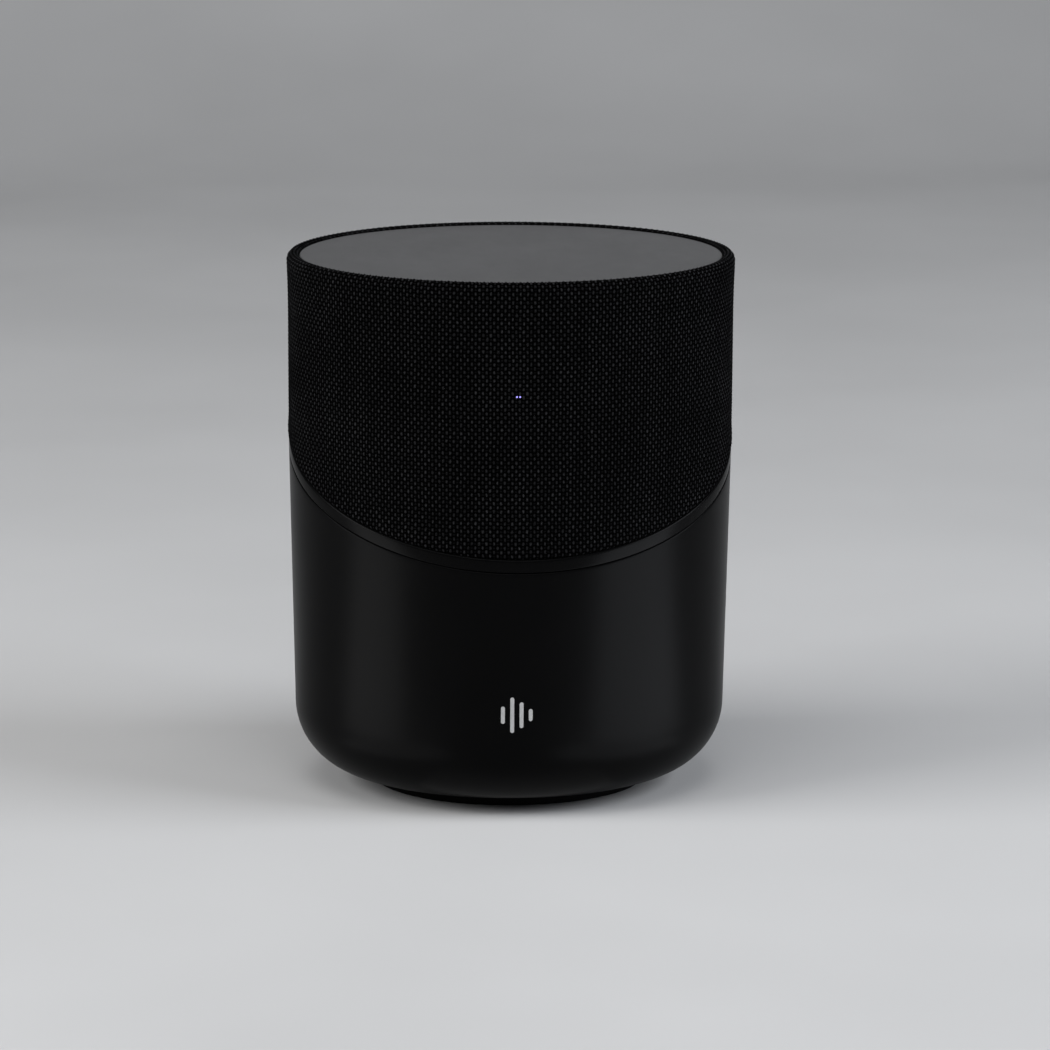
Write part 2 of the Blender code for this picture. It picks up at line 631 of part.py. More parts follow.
def make_base(f):
    """The plate that closes the floor, its screws and the rubber foot ring."""
    rim = BASE_OPENING - GAP
    disc = [(0.0, BASE_PLATE_HIGH), (rim, BASE_PLATE_HIGH), (rim, BASE_PLATE_LOW), (0.0, BASE_PLATE_LOW)]
    plate = turned("base_plate", disc, f["frame"], oval=True, closed=False)
    posts, shoulders, holes = bmesh.new(), bmesh.new(), bmesh.new()
    for x in (-POST_X, POST_X):
        for y in (-POST_Y, POST_Y):
            foot = BASE_PLATE_LOW + 0.0010
            add_cylinder(posts, POST_RADIUS, foot, MAIN_BOARD_LOW - GAP, (x, y), 12)
            foot += 0.0002
            add_cylinder(shoulders, SHOULDER_RADIUS, foot, POWER_BOARD_LOW - GAP, (x, y), 12)
    join(plate, place("base_shoulders", mesh_of("base_shoulders", shoulders)))
    join(plate, place("base_posts", mesh_of("base_posts", posts)))
    for number, centre in enumerate(BASE_SCREWS):
        add_cylinder(holes, 0.0019, 0.0, 0.02, centre, 12)
        screw = make_screw(f"base_screw_{number + 1}", f, None, (0, 0), 0.0, 0.0080)
        screw.rotation_euler = (math.pi, 0, 0)
        screw.location = (*centre, BASE_PLATE_LOW - GAP)
    cut(plate, place("base_screw_holes", mesh_of("base_screw_holes", holes)))
    foot_top = FOOT_HEIGHT - GAP
    foot = [(FOOT_OUTER - 0.0006, foot_top), (FOOT_OUTER, foot_top - 0.0006), (FOOT_OUTER, 0.0008)]
    foot += [(FOOT_OUTER - 0.0008, 0.0), (FOOT_INNER, 0.0), (FOOT_INNER, foot_top)]
    turned("foot_ring", foot, f["rubber"], oval=True)


def make_connectors(f):
    """The tray in the back wall, its sockets and the setup button."""
    tray = box(
        "io_panel",
        (-TRAY_HALF_WIDTH, TRAY_FLOOR_BACK, PANEL_Z_LOW),
        (TRAY_HALF_WIDTH, 0.090, PANEL_Z_HIGH),
        f["frame"],
    )
    body = body_solid("body_outside", 0.0)
    combine(tray, body, "INTERSECT")
    pocket_x = TRAY_HALF_WIDTH - TRAY_RIM
    pocket_z = (PANEL_Z_LOW + TRAY_RIM, PANEL_Z_HIGH - TRAY_RIM)
    cut(
        tray,
        box("tray_pocket", (-pocket_x, TRAY_FLOOR_FRONT, pocket_z[0]), (pocket_x, 0.095, pocket_z[1])),
    )
    for name, low, high, mouth_low, mouth_high, depth, slot in SOCKETS:
        back = TRAY_FLOOR_FRONT - depth[0]
        body = box(name, (low[0], back, low[1]), (high[0], TRAY_FLOOR_FRONT, high[1]), f[slot])
        cut(
            body,
            box(
                f"{name}_mouth",
                (mouth_low[0], TRAY_FLOOR_FRONT - depth[1], mouth_low[1]),
                (mouth_high[0], 0.080, mouth_high[1]),
            ),
        )
        cut(
            tray,
            box(
                f"{name}_cutout",
                (low[0] - GAP, 0.060, low[1] - GAP),
                (high[0] + GAP, 0.070, high[1] + GAP),
            ),
        )
    for side, name in ((-1, "left"), (1, "right")):
        pin_back = TRAY_FLOOR_FRONT - INLET_DEPTH + GAP
        pin = cylinder(f"inlet_pin_{name}", 0.0012, 0.0, 0.0085, f["brass"], steps=14)
        pin.rotation_euler = (-math.pi / 2, 0, 0)
        pin.location = (INLET_X + side * PIN_SPACING / 2, pin_back, INLET_Z)
    jack_low = (AUDIO_X - 0.0035, 0.0525, SMALL_ROW_Z - 0.0034)
    jack_back = TRAY_FLOOR_BACK - GAP
    jack = box("audio_socket", jack_low, (AUDIO_X + 0.0035, jack_back, SMALL_ROW_Z + 0.0034), f["frame"])
    neck = cylinder("audio_socket_neck", 0.0029, -0.0035, 0.0025, steps=20)
    neck.rotation_euler = (-math.pi / 2, 0, 0)
    neck.location = (AUDIO_X, jack_back, SMALL_ROW_Z)
    join(jack, neck)
    bore = cylinder("audio_bore", 0.0018, -0.010, 0.010, steps=16)
    bore.rotation_euler = (-math.pi / 2, 0, 0)
    bore.location = (AUDIO_X, jack_back + 0.001, SMALL_ROW_Z)
    cut(jack, bore)
    for name, radius, x in (("audio_hole", 0.0032, AUDIO_X), ("button_hole", 0.0026, BUTTON_X)):
        hole = cylinder(name, radius, -0.01, 0.01, steps=20)
        hole.rotation_euler = (-math.pi / 2, 0, 0)
        hole.location = (x, TRAY_FLOOR_BACK, SMALL_ROW_Z)
        cut(tray, hole)
    cap, flange, proud, behind = 0.0023, 0.0031, 0.0010, -0.0026
    profile = [(0.0, proud), (cap - 0.0004, proud), (cap, proud - 0.0004), (cap, behind)]
    profile += [(flange, behind), (flange, behind - 0.0012), (0.0, behind - 0.0012)]
    axis = empty("setup_button_axis", (BUTTON_X, TRAY_FLOOR_FRONT, SMALL_ROW_Z), (-math.pi / 2, 0, 0))
    turned("setup_button", profile, f["frame"], axis, 20, closed=False)


def make_electronics(f):
    """The power board, the main board and what stands on them, the antennas and the status lights."""
    power_top = POWER_BOARD_LOW + BOARD_THICKNESS
    low = (-0.047, -0.033, POWER_BOARD_LOW)
    power = box("power_supply_board", low, (0.047, 0.033, power_top), f["board"])
    holes = bmesh.new()
    for x in (-POST_X, POST_X):
        for y in (-POST_Y, POST_Y):
            add_cylinder(holes, POST_RADIUS + 0.0005, POWER_BOARD_LOW - 0.005, power_top + 0.003, (x, y), 12)
    cut(power, place("power_board_holes", mesh_of("power_board_holes", holes)))
    on_power = power_top + GAP
    box("mains_transformer", (-0.014, -0.013, on_power), (0.012, 0.011, 0.0350), f["tape"], bevel=0.001)
    for number, x in enumerate((0.0215, -0.0245)):
        crimp = 0.0006
        can = [(0.0, CAPACITOR_TOP), (CAPACITOR_RADIUS - crimp, CAPACITOR_TOP)]
        can += [(CAPACITOR_RADIUS, CAPACITOR_TOP - crimp), (CAPACITOR_RADIUS, on_power), (0.0, on_power)]
        made = turned(f"bulk_capacitor_{number + 1}", can, f["aluminium"], steps=20, closed=False)
        made.location = (x, -0.004, 0)
    main_top = MAIN_BOARD_LOW + BOARD_THICKNESS
    on_main = main_top + GAP
    box("main_board", (-0.040, -0.033, MAIN_BOARD_LOW), (0.040, 0.057, main_top), f["board"])
    low = (-0.020, -0.028, on_main)
    fins = box("amplifier_heatsink", low, (0.020, -0.004, HEATSINK_TOP), f["aluminium"])
    grooves = bmesh.new()
    for k in range(6):
        x = FIN_PITCH * (k - 2.75)
        add_box(grooves, (x, -0.040, main_top + 0.0030), (x + FIN_PITCH / 2, 0.010, HEATSINK_TOP + 0.006))
    cut(fins, place("heatsink_grooves", mesh_of("heatsink_grooves", grooves)))
    shield_top = main_top + 0.0029
    low = (-0.036, -0.020, on_main)
    box("wifi_module_shield", low, (-0.024, 0.004, shield_top), f["steel"], bevel=0.0004)
    for side, name in ((-1, "left"), (1, "right")):
        near, far = sorted((side * ANTENNA_X, side * (ANTENNA_X + 0.0010)))
        box(f"antenna_{name}", (near, -0.008, 0.062), (far, 0.008, 0.092), f["board"])
    low = (LED_X - 0.010, -0.0712, LED_HEIGHT - 0.0050)
    box("led_board", low, (LED_X + 0.010, -0.0700, LED_HEIGHT + 0.0050), f["board"])
    for side, name in ((-1, "left"), (1, "right")):
        x = LED_X + side * LED_SPACING / 2
        low = (x - 0.00045, -0.0741, LED_HEIGHT - 0.0005)
        box(f"status_led_{name}", low, (x + 0.00045, -0.0715, LED_HEIGHT + 0.0005), f["led"])


def make_wiring(f):
    """The woofer's lead, and the flat cable between the touch board and the main board."""
    route = (
        (0.0462, 0.0085, WOOFER_HEIGHT - 0.0180),
        (0.0500, 0.0095, WOOFER_HEIGHT - 0.0200),
        (0.0520, 0.0110, WOOFER_HEIGHT - 0.0300),
        (0.0500, 0.0120, 0.0840),
        (0.0460, 0.0110, 0.0680),
        (0.0380, 0.0100, 0.0560),
        (0.0330, 0.0100, 0.0480),
        (0.0320, 0.0100, 0.0420),
    )
    path = bpy.data.curves.new("woofer_lead", "CURVE")
    path.dimensions = "3D"
    path.bevel_depth = 0.0011
    path.bevel_resolution = 1
    path.use_fill_caps = True
    points = smooth_path(route, 3)
    spline = path.splines.new("POLY")
    spline.points.add(len(points) - 1)
    for point, place_at in zip(spline.points, points):
        point.co = (*place_at, 1)
    lead = bpy.data.objects.new("woofer_lead", path)
    PARTS.objects.link(lead)
    path.materials.append(f["wire"])
    over, back, bend = RIBBON_TOP_Y, RIBBON_Y, RIBBON_BEND
    line = [(over, RIBBON_TOP), (over, RIBBON_TURN + bend), (over + bend, RIBBON_TURN)]
    line += [(back - bend, RIBBON_TURN), (back, RIBBON_TURN - bend), (back, RIBBON_LOW + bend)]
    line += [(back - bend, RIBBON_LOW), (back - 0.0120, RIBBON_LOW)]
    strip = bmesh.new()
    x_low, x_high = RIBBON_X - RIBBON_WIDTH / 2, RIBBON_X + RIBBON_WIDTH / 2
    left = [strip.verts.new((x_low, y, z)) for y, z in line]
    right = [strip.verts.new((x_high, y, z)) for y, z in line]
    for i in range(len(line) - 1):
        strip.faces.new((left[i], right[i], right[i + 1], left[i + 1]))
    ribbon = place("touch_ribbon_cable", mesh_of("touch_ribbon_cable", strip), f["wire"])
    thick = ribbon.modifiers.new("thickness", "SOLIDIFY")
    thick.thickness = 0.0006
    thick.offset = 0


def cable_slot(name, y, low, high):
    """A cutter for the slot that the flat cable passes through."""
    reach = RIBBON_WIDTH / 2 + 0.0010
    return box(name, (RIBBON_X - reach, y - 0.0013, low), (RIBBON_X + reach, y + 0.0013, high))


def smooth_path(route, between):
    """Points along a Catmull-Rom curve through the route."""
    knots = [Vector(p) for p in route]
    knots = [2 * knots[0] - knots[1]] + knots + [2 * knots[-1] - knots[-2]]
    points = []
    for a, b, c, d in zip(knots, knots[1:], knots[2:], knots[3:]):
        for i in range(between):
            t = i / between
            square = (2 * a - 5 * b + 4 * c - d) * t**2
            cube = (3 * b - a - 3 * c + d) * t**3
            points.append(0.5 * (2 * b + (c - a) * t + square + cube))
    return points + [knots[-2]]


def main():
    finishes = make_finishes()
    make_shell(finishes)
    make_band(finishes)
    make_grille(finishes)
    make_top(finishes)
    make_tweeters(finishes)
    make_woofer(finishes)
    make_base(finishes)
    make_connectors(finishes)
    make_electronics(finishes)
    make_wiring(finishes)


main()
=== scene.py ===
"""The looks of a compact smart speaker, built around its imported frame. Metres, +Z up, front is -Y."""

import json
import math

import bmesh
import bpy
import numpy as np
from mathutils import Matrix, Vector


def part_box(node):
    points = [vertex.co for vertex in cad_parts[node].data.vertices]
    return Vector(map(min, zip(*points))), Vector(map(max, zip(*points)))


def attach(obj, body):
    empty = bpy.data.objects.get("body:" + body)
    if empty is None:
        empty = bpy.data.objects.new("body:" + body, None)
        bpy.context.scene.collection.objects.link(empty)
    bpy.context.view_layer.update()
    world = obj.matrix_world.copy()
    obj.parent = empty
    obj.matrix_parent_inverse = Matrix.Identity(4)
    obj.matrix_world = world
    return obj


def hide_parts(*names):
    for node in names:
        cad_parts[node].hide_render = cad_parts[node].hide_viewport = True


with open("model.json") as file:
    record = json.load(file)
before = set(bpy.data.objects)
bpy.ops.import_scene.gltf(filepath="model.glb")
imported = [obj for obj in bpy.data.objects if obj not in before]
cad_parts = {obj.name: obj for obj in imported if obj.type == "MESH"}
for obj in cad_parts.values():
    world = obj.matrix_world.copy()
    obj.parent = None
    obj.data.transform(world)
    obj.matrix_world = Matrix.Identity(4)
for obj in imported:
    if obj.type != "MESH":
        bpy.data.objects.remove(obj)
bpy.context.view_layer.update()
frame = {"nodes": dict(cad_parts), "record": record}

# The body's outline, from the frame and from the same few shape values as the CAD.
PANEL_LOW, PANEL_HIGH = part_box("touch_panel")
SLEEVE_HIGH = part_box("grille_frame")[1]
CLOTH_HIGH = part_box("grille_fabric")[1]
FOOT_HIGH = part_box("foot_ring")[1]
GAP = 0.0003
CLOTH = 0.0010
DEPTH_RATIO = PANEL_HIGH.y / PANEL_HIGH.x
HALF_WIDTH = SLEEVE_HIGH.x + CLOTH + GAP
SHELL_BOTTOM = FOOT_HIGH.z + GAP
WALL = 0.0028
SHELL_DRAFT, DRAFT_START, DRAFT_FULL = 0.0205, 0.161, 0.121
CORNER_RADIUS = 0.0275
BASE_OPENING = 0.0520
SPLIT_TILT = math.radians(24.9)
SPLIT_SLOPE = math.tan(SPLIT_TILT)
SPLIT_HEIGHT = 0.1382
BAND_HEIGHT, BAND_WALL, BAND_LIFT = 0.0050, 0.0034, 0.0002
SHELL_EASE, LIP_EASE, BAND_TOP_EASE, BAND_FOOT_EASE = 0.00065, 0.0004, 0.00085, 0.00035
SHELL_TOP = SPLIT_HEIGHT - BAND_HEIGHT - GAP
COLUMNS = 224

# The sock's rim bulges over the sleeve and fades into the wall. It stands a thread's height above the CAD.
RIM_TOP = CLOTH_HIGH.z + 0.0007
RIM_HEIGHT = 0.2072
RIM_ROLL = 0.0024
RIM_PROUD = 0.0002
RIM_BULGE = CLOTH_HIGH.x - HALF_WIDTH + RIM_PROUD
RIM_FADE = 0.0220

# Its hem swells over the last centimetre above the band and tucks in at the very edge.
HEM_PROUD, HEM_FADE, HEM_EDGE, HEM_TUCK = 0.00055, 0.0100, 0.0016, 2.4
SOCK_BOTTOM = 0.0960

# The two status lights.
LEFT_LED, RIGHT_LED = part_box("status_led_left"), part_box("status_led_right")
LIGHTS_X = (LEFT_LED[0].x + RIGHT_LED[1].x) / 2
LIGHTS_Z = (LEFT_LED[0].z + LEFT_LED[1].z) / 2
LIGHT_OFFSET = (RIGHT_LED[0].x + RIGHT_LED[1].x) / 2 - LIGHTS_X

# The connector tray in the back wall. Holes in its floor are cut from CUT_LOW to CUT_HIGH, and BEHIND is
# past the back wall.
TRAY_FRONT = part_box("io_panel")[0].y
TRAY_FLOOR = TRAY_FRONT + 0.0022
TRAY_RIM = 0.0020
CUT_LOW, CUT_HIGH = 0.060, 0.070
BEHIND = 0.095

# The plain weave: threads are counted round the body, and rows run down from the rim. The relief is the
# drop below an upright thread's top. It fades in over SMOOTH_EDGE from the panel and is deeper on the rim.
# UNDER and BETWEEN are its shares at a crosswise crossing and between threads.
THREADS = 366
ROW_PITCH = 0.00157
WEAVE_RELIEF, RIM_RELIEF = 0.00016, 0.00036
RELIEF_START, RELIEF_SPAN = RIM_HEIGHT - 0.0030, 0.0040
UNDER, BETWEEN = -0.45, -0.8
SMOOTH_EDGE = 0.0012

# The view, and the hidden strips and pads that give the shell its soft highlights.
VIEW_AZIMUTH, VIEW_ELEVATION, VIEW_ROLL = math.radians(-4.0), math.radians(12.33), math.radians(0.27)
VIEW_DISTANCE = 1.9637
VIEW_AIM = Vector((0.0059, -0.0004, 0.1012))
SENSOR, FOCAL_LENGTH = 36, 171.4
LAMP_AIM = Vector((0, 0, 0.11))
STRIP_TALL, STRIP_LEAN, STRIP_AWAY = 0.22, 32, 0.228
PAD_HEIGHT = 0.0006
FLOOR_DROP = 0.0001
COOL = (0.92, 0.95, 1.0)


def half_width(height, inset=0.0):
    """The body's half width at a height: straight above, a gentle draft below, blended smoothly."""
    if height >= DRAFT_START:
        return HALF_WIDTH - inset
    if height > DRAFT_FULL:
        drop = (DRAFT_START - height) ** 2 / (2 * (DRAFT_START - DRAFT_FULL))
    else:
        drop = (DRAFT_START + DRAFT_FULL) / 2 - height
    return HALF_WIDTH - SHELL_DRAFT * drop - inset


CORNER_Z = SHELL_BOTTOM + CORNER_RADIUS
CORNER_R = half_width(CORNER_Z) - CORNER_RADIUS


def around(angle, radius, height):
    """A point on the oval at an angle from +X."""
    return (radius * math.cos(angle), DEPTH_RATIO * radius * math.sin(angle), height)


def arc(centre, radii, start, end, count):
    """Points on an arc of (radius, height), angles in degrees, both ends included."""
    turns = [math.radians(start + (end - start) * i / count) for i in range(count + 1)]
    return [(centre[0] + radii[0] * math.cos(t), centre[1] + radii[1] * math.sin(t)) for t in turns]


def slant(angle, radius, axis_height):
    """The height of a slanted plane over a point of the oval."""
    return axis_height + SPLIT_SLOPE * DEPTH_RATIO * radius * math.sin(angle)


def meet(angle, axis_height, inset=0.0):
    """Where the wall meets a slanted plane: (radius, height)."""
    height = axis_height
    for _ in range(6):
        height = slant(angle, half_width(height, inset), axis_height)
    return half_width(height, inset), height


def blend_line(start, end, count):
    """Evenly spaced values, both ends included."""
    return [start + (end - start) * i / (count - 1) for i in range(count)]


def link(name, data):
    """Puts a mesh, a lamp or a camera in the scene."""
    made = bpy.data.objects.new(name, data)
    bpy.context.scene.collection.objects.link(made)
    return made


def creased(mesh, sharp=40):
    """Smooth shading, except over edges sharper than an angle."""
    mesh.shade_smooth()
    mesh.set_sharp_from_angle(angle=math.radians(sharp))
    return mesh


def mesh_of(name, bm):
    mesh = bpy.data.meshes.new(name)
    bm.to_mesh(mesh)
    bm.free()
    return mesh


def make_mesh(name, points, faces):
    mesh = bpy.data.meshes.new(name)
    mesh.from_pydata(points, [], faces)
    mesh.validate()
    return link(name, creased(mesh))


def swept(name, section):
    """Sweeps section(angle), a closed list of (radius, height) from the outer top, round the oval."""
    points, faces = [], []
    for c in range(COLUMNS):
        angle = 2 * math.pi * c / COLUMNS
        points.extend(around(angle, r, h) for r, h in section(angle))
    rows = len(points) // COLUMNS
    for c in range(COLUMNS):
        here, there = c * rows, (c + 1) % COLUMNS * rows
        for k in range(rows):
            after = (k + 1) % rows
            faces.append((here + k, here + after, there + after, there + k))
    return make_mesh(name, points, faces)


def turned(name, profile, columns=64, oval=False, closed=False):
    """Turns a profile of (radius, height) about Z; radius 0 at an end closes it there."""
    bm = bmesh.new()
    ratio = DEPTH_RATIO if oval else 1.0
    turns = [2 * math.pi * c / columns for c in range(columns)]
    rings = []
    for r, h in profile:
        if r == 0:
            rings.append([bm.verts.new((0, 0, h))])
        else:
            rings.append([bm.verts.new((r * math.cos(t), ratio * r * math.sin(t), h)) for t in turns])
    pairs = list(zip(rings, rings[1:]))
    if closed:
        pairs.append((rings[-1], rings[0]))
    for above, below in pairs:
        for c in range(columns):
            d = (c + 1) % columns
            corners = [above[c % len(above)], below[c % len(below)]]
            corners += [below[d % len(below)], above[d % len(above)]]
            bm.faces.new(list(dict.fromkeys(corners)))
    return link(name, creased(mesh_of(name, bm)))


def rounded_slab(name, low, high, radius, axis="y", corner=6, edge=0.0):
    """A block whose four corners, seen along an axis, are round, with its long edges eased."""
    a, b, c = {"y": (0, 2, 1), "z": (0, 1, 2)}[axis]
    middle = [(l + h) / 2 for l, h in zip(low, high)]
    half = [(h - l) / 2 for l, h in zip(low, high)]
    outline = []
    for quarter in range(4):
        sign_a = 1 if quarter in (0, 3) else -1
        sign_b = 1 if quarter in (0, 1) else -1
        round_from = (sign_a * (half[a] - radius), sign_b * (half[b] - radius))
        outline += arc(round_from, (radius, radius), 90 * quarter, 90 * quarter + 90, corner)
    levels = [(-half[c] + edge, 0), (half[c] - edge, 0)]
    if edge:
        levels = [(-half[c], edge)] + levels + [(half[c], edge)]
    bm = bmesh.new()
    rings = []
    for level, inset in levels:
        ring = []
        for p, q in outline:
            shrink = 1 - inset / max(abs(p), abs(q))
            spot = [0, 0, 0]
            spot[a], spot[b], spot[c] = p * shrink, q * shrink, level
            ring.append(bm.verts.new([m + s for m, s in zip(middle, spot)]))
        rings.append(ring)
    count = len(outline)
    for near, far in zip(rings, rings[1:]):
        for i in range(count):
            bm.faces.new((near[i], near[(i + 1) % count], far[(i + 1) % count], far[i]))
    bm.faces.new(rings[0][::-1])
    bm.faces.new(rings[-1])
    bmesh.ops.remove_doubles(bm, verts=bm.verts, dist=1e-7)
    bmesh.ops.recalc_face_normals(bm, faces=bm.faces)
    return link(name, creased(mesh_of(name, bm)))


def face_back(piece, x, y, z):
    """Lays a piece made about Z along the Y axis, its top to the back, at a place."""
    piece.data.transform(Matrix.Rotation(-math.pi / 2, 4, "X"))
    piece.data.transform(Matrix.Translation((x, y, z)))
    return piece


def boolean(target, other, operation="DIFFERENCE"):
    """Applies a Boolean and removes the other object."""
    step = target.modifiers.new("shape", "BOOLEAN")
    step.operation = operation
    step.object = other
    step.solver = "EXACT"
    bpy.context.view_layer.update()
    graph = bpy.context.evaluated_depsgraph_get()
    evaluated = target.evaluated_get(graph)
    mesh = bpy.data.meshes.new_from_object(evaluated, preserve_all_data_layers=True, depsgraph=graph)
    target.modifiers.clear()
    target.data = creased(mesh, 35)
    bpy.data.objects.remove(other)


def show(piece, finishes, body, slot, *nodes):
    """Gives a piece the finish of its slot, its body and the CAD nodes that it stands for."""
    piece.data.materials.clear()
    piece.data.materials.append(finishes[slot])
    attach(piece, body)
    if nodes:
        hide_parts(*nodes)


def eased(corners):
    """Rounds a closed outline of (radius, height, easing distance)."""
    line, steps = [], 4
    for i, (r, h, ease) in enumerate(corners):
        if not ease:
            line.append((r, h))
            continue
        here = Vector((r, h))
        before = Vector(corners[i - 1][:2]) - here
        after = Vector(corners[(i + 1) % len(corners)][:2]) - here
        start = here + before.normalized() * min(ease, before.length / 2)
        end = here + after.normalized() * min(ease, after.length / 2)
        for s in range(steps + 1):
            t = s / steps
            line.append(tuple(start * (1 - t) ** 2 + here * 2 * t * (1 - t) + end * t * t))
    return line


# Camera, light and stage.


def make_camera():
    """A long lens, a little above the top and a little to the left of the middle."""
    flat = math.cos(VIEW_ELEVATION)
    back = Vector((math.sin(VIEW_AZIMUTH) * flat, -math.cos(VIEW_AZIMUTH) * flat, math.sin(VIEW_ELEVATION)))
    data = bpy.data.cameras.new("camera")
    data.sensor_width = SENSOR
    data.lens = FOCAL_LENGTH
    data.clip_end = 20
    camera = link("camera", data)
    camera.location = VIEW_AIM + back * VIEW_DISTANCE
    turn = (-back).to_track_quat("-Z", "Y").to_matrix() @ Matrix.Rotation(VIEW_ROLL, 3, "Z")
    camera.rotation_euler = turn.to_euler()
    bpy.context.scene.camera = camera


def softbox(name, azimuth, elevation, distance, size, power, colour=(1, 1, 1)):
    """An area light that faces the middle of the body; azimuth 0 is the front and 90 the right."""
    a, e = math.radians(azimuth), math.radians(elevation)
    way = Vector((math.sin(a) * math.cos(e), -math.cos(a) * math.cos(e), math.sin(e)))
    data = bpy.data.lights.new(name, "AREA")
    data.shape = "RECTANGLE"
    data.size, data.size_y = size
    data.energy = power
    data.color = colour
    lamp = link(name, data)
    lamp.location = LAMP_AIM + way * distance
    lamp.rotation_euler = (-way).to_track_quat("-Z", "Y").to_euler()
    return lamp


def only_in_gloss(lamp, azimuth, distance, height):
    """Puts a lamp beside the body and hides it from everything but gloss."""
    lamp.location = around(math.radians(azimuth - 90), distance, height)
    lamp.visible_camera = lamp.visible_diffuse = False


def gloss_strip(name, azimuth, wide, power, colour=(1, 1, 1)):
    """A strip with its foot on the floor that leans away from the body."""
    lamp = softbox(name, azimuth, -STRIP_LEAN, STRIP_AWAY, (wide, STRIP_TALL), power, colour)
    only_in_gloss(lamp, azimuth, STRIP_AWAY, STRIP_TALL / 2 * math.cos(math.radians(STRIP_LEAN)))


def gloss_pad(name, azimuth, distance, size, power, colour=(1, 1, 1)):
    """A pad that lies on the floor and shines up at the shell's lower curve."""
    lamp = softbox(name, azimuth, -90, distance, size, power, colour)
    lamp.rotation_euler = (math.pi, 0, math.radians(azimuth))
    only_in_gloss(lamp, azimuth, distance, PAD_HEIGHT)


def make_sweep():
    """A pale floor that curves up into a backdrop."""
    front, bend, radius, tall, half = -4.0, 1.6, 0.8, 4.0, 5.0
    line = [(front, 0.0), (bend, 0.0)]
    line += [
        (bend + radius * math.sin(t), radius - radius * math.cos(t))
        for t in blend_line(0.1, math.pi / 2, 12)
    ]
    line.append((bend + radius, tall))
    points = [(x, y, z - FLOOR_DROP) for y, z in line for x in (-half, half)]
    faces = [(2 * i, 2 * i + 1, 2 * i + 3, 2 * i + 2) for i in range(len(line) - 1)]
    sweep = make_mesh("studio_sweep", points, faces)
    paper = Finish("pale_paper", (0.60, 0.60, 0.60), 0.9, Specular_IOR_Level=0.0)
    paper.tint(paper.noise(3.0, 3), 0.94, 1.04)
    sweep.data.materials.append(paper.made)


def make_stage():
    """The floor, a soft box at both sides and one overhead, and the strips and pads of the highlights."""
    make_sweep()
    softbox("left_softbox", -72, 30, 2.2, (1.2, 1.2), 30)
    softbox("right_softbox", 72, 30, 2.2, (1.2, 1.2), 34, COOL)
    softbox("top_softbox", -15, 66, 1.9, (1.4, 1.4), 14)
    gloss_strip("left_strip", -57, 0.09, 0.205)
    gloss_strip("right_strip", 48, 0.13, 0.385, COOL)
    gloss_strip("back_strip", 178, 0.16, 0.20)
    gloss_pad("left_pad", -45, 0.136, (0.09, 0.060), 0.022)
    gloss_pad("right_pad", 38, 0.138, (0.11, 0.060), 0.040, COOL)
    gloss_pad("front_pad", 0, 0.0724, (0.082, 0.026), 0.0014)
    world = bpy.data.worlds.new("studio")
    world.use_nodes = True
    sky = world.node_tree.nodes["Background"]
    sky.inputs["Color"].default_value = (0.90, 0.93, 1.0, 1)
    sky.inputs["Strength"].default_value = 0.08
    bpy.context.scene.world = world
    bpy.context.scene.view_settings.view_transform = "Standard"


# Finishes.


def scaled(colour, share):
    return tuple(min(1.0, c * share) for c in colour)


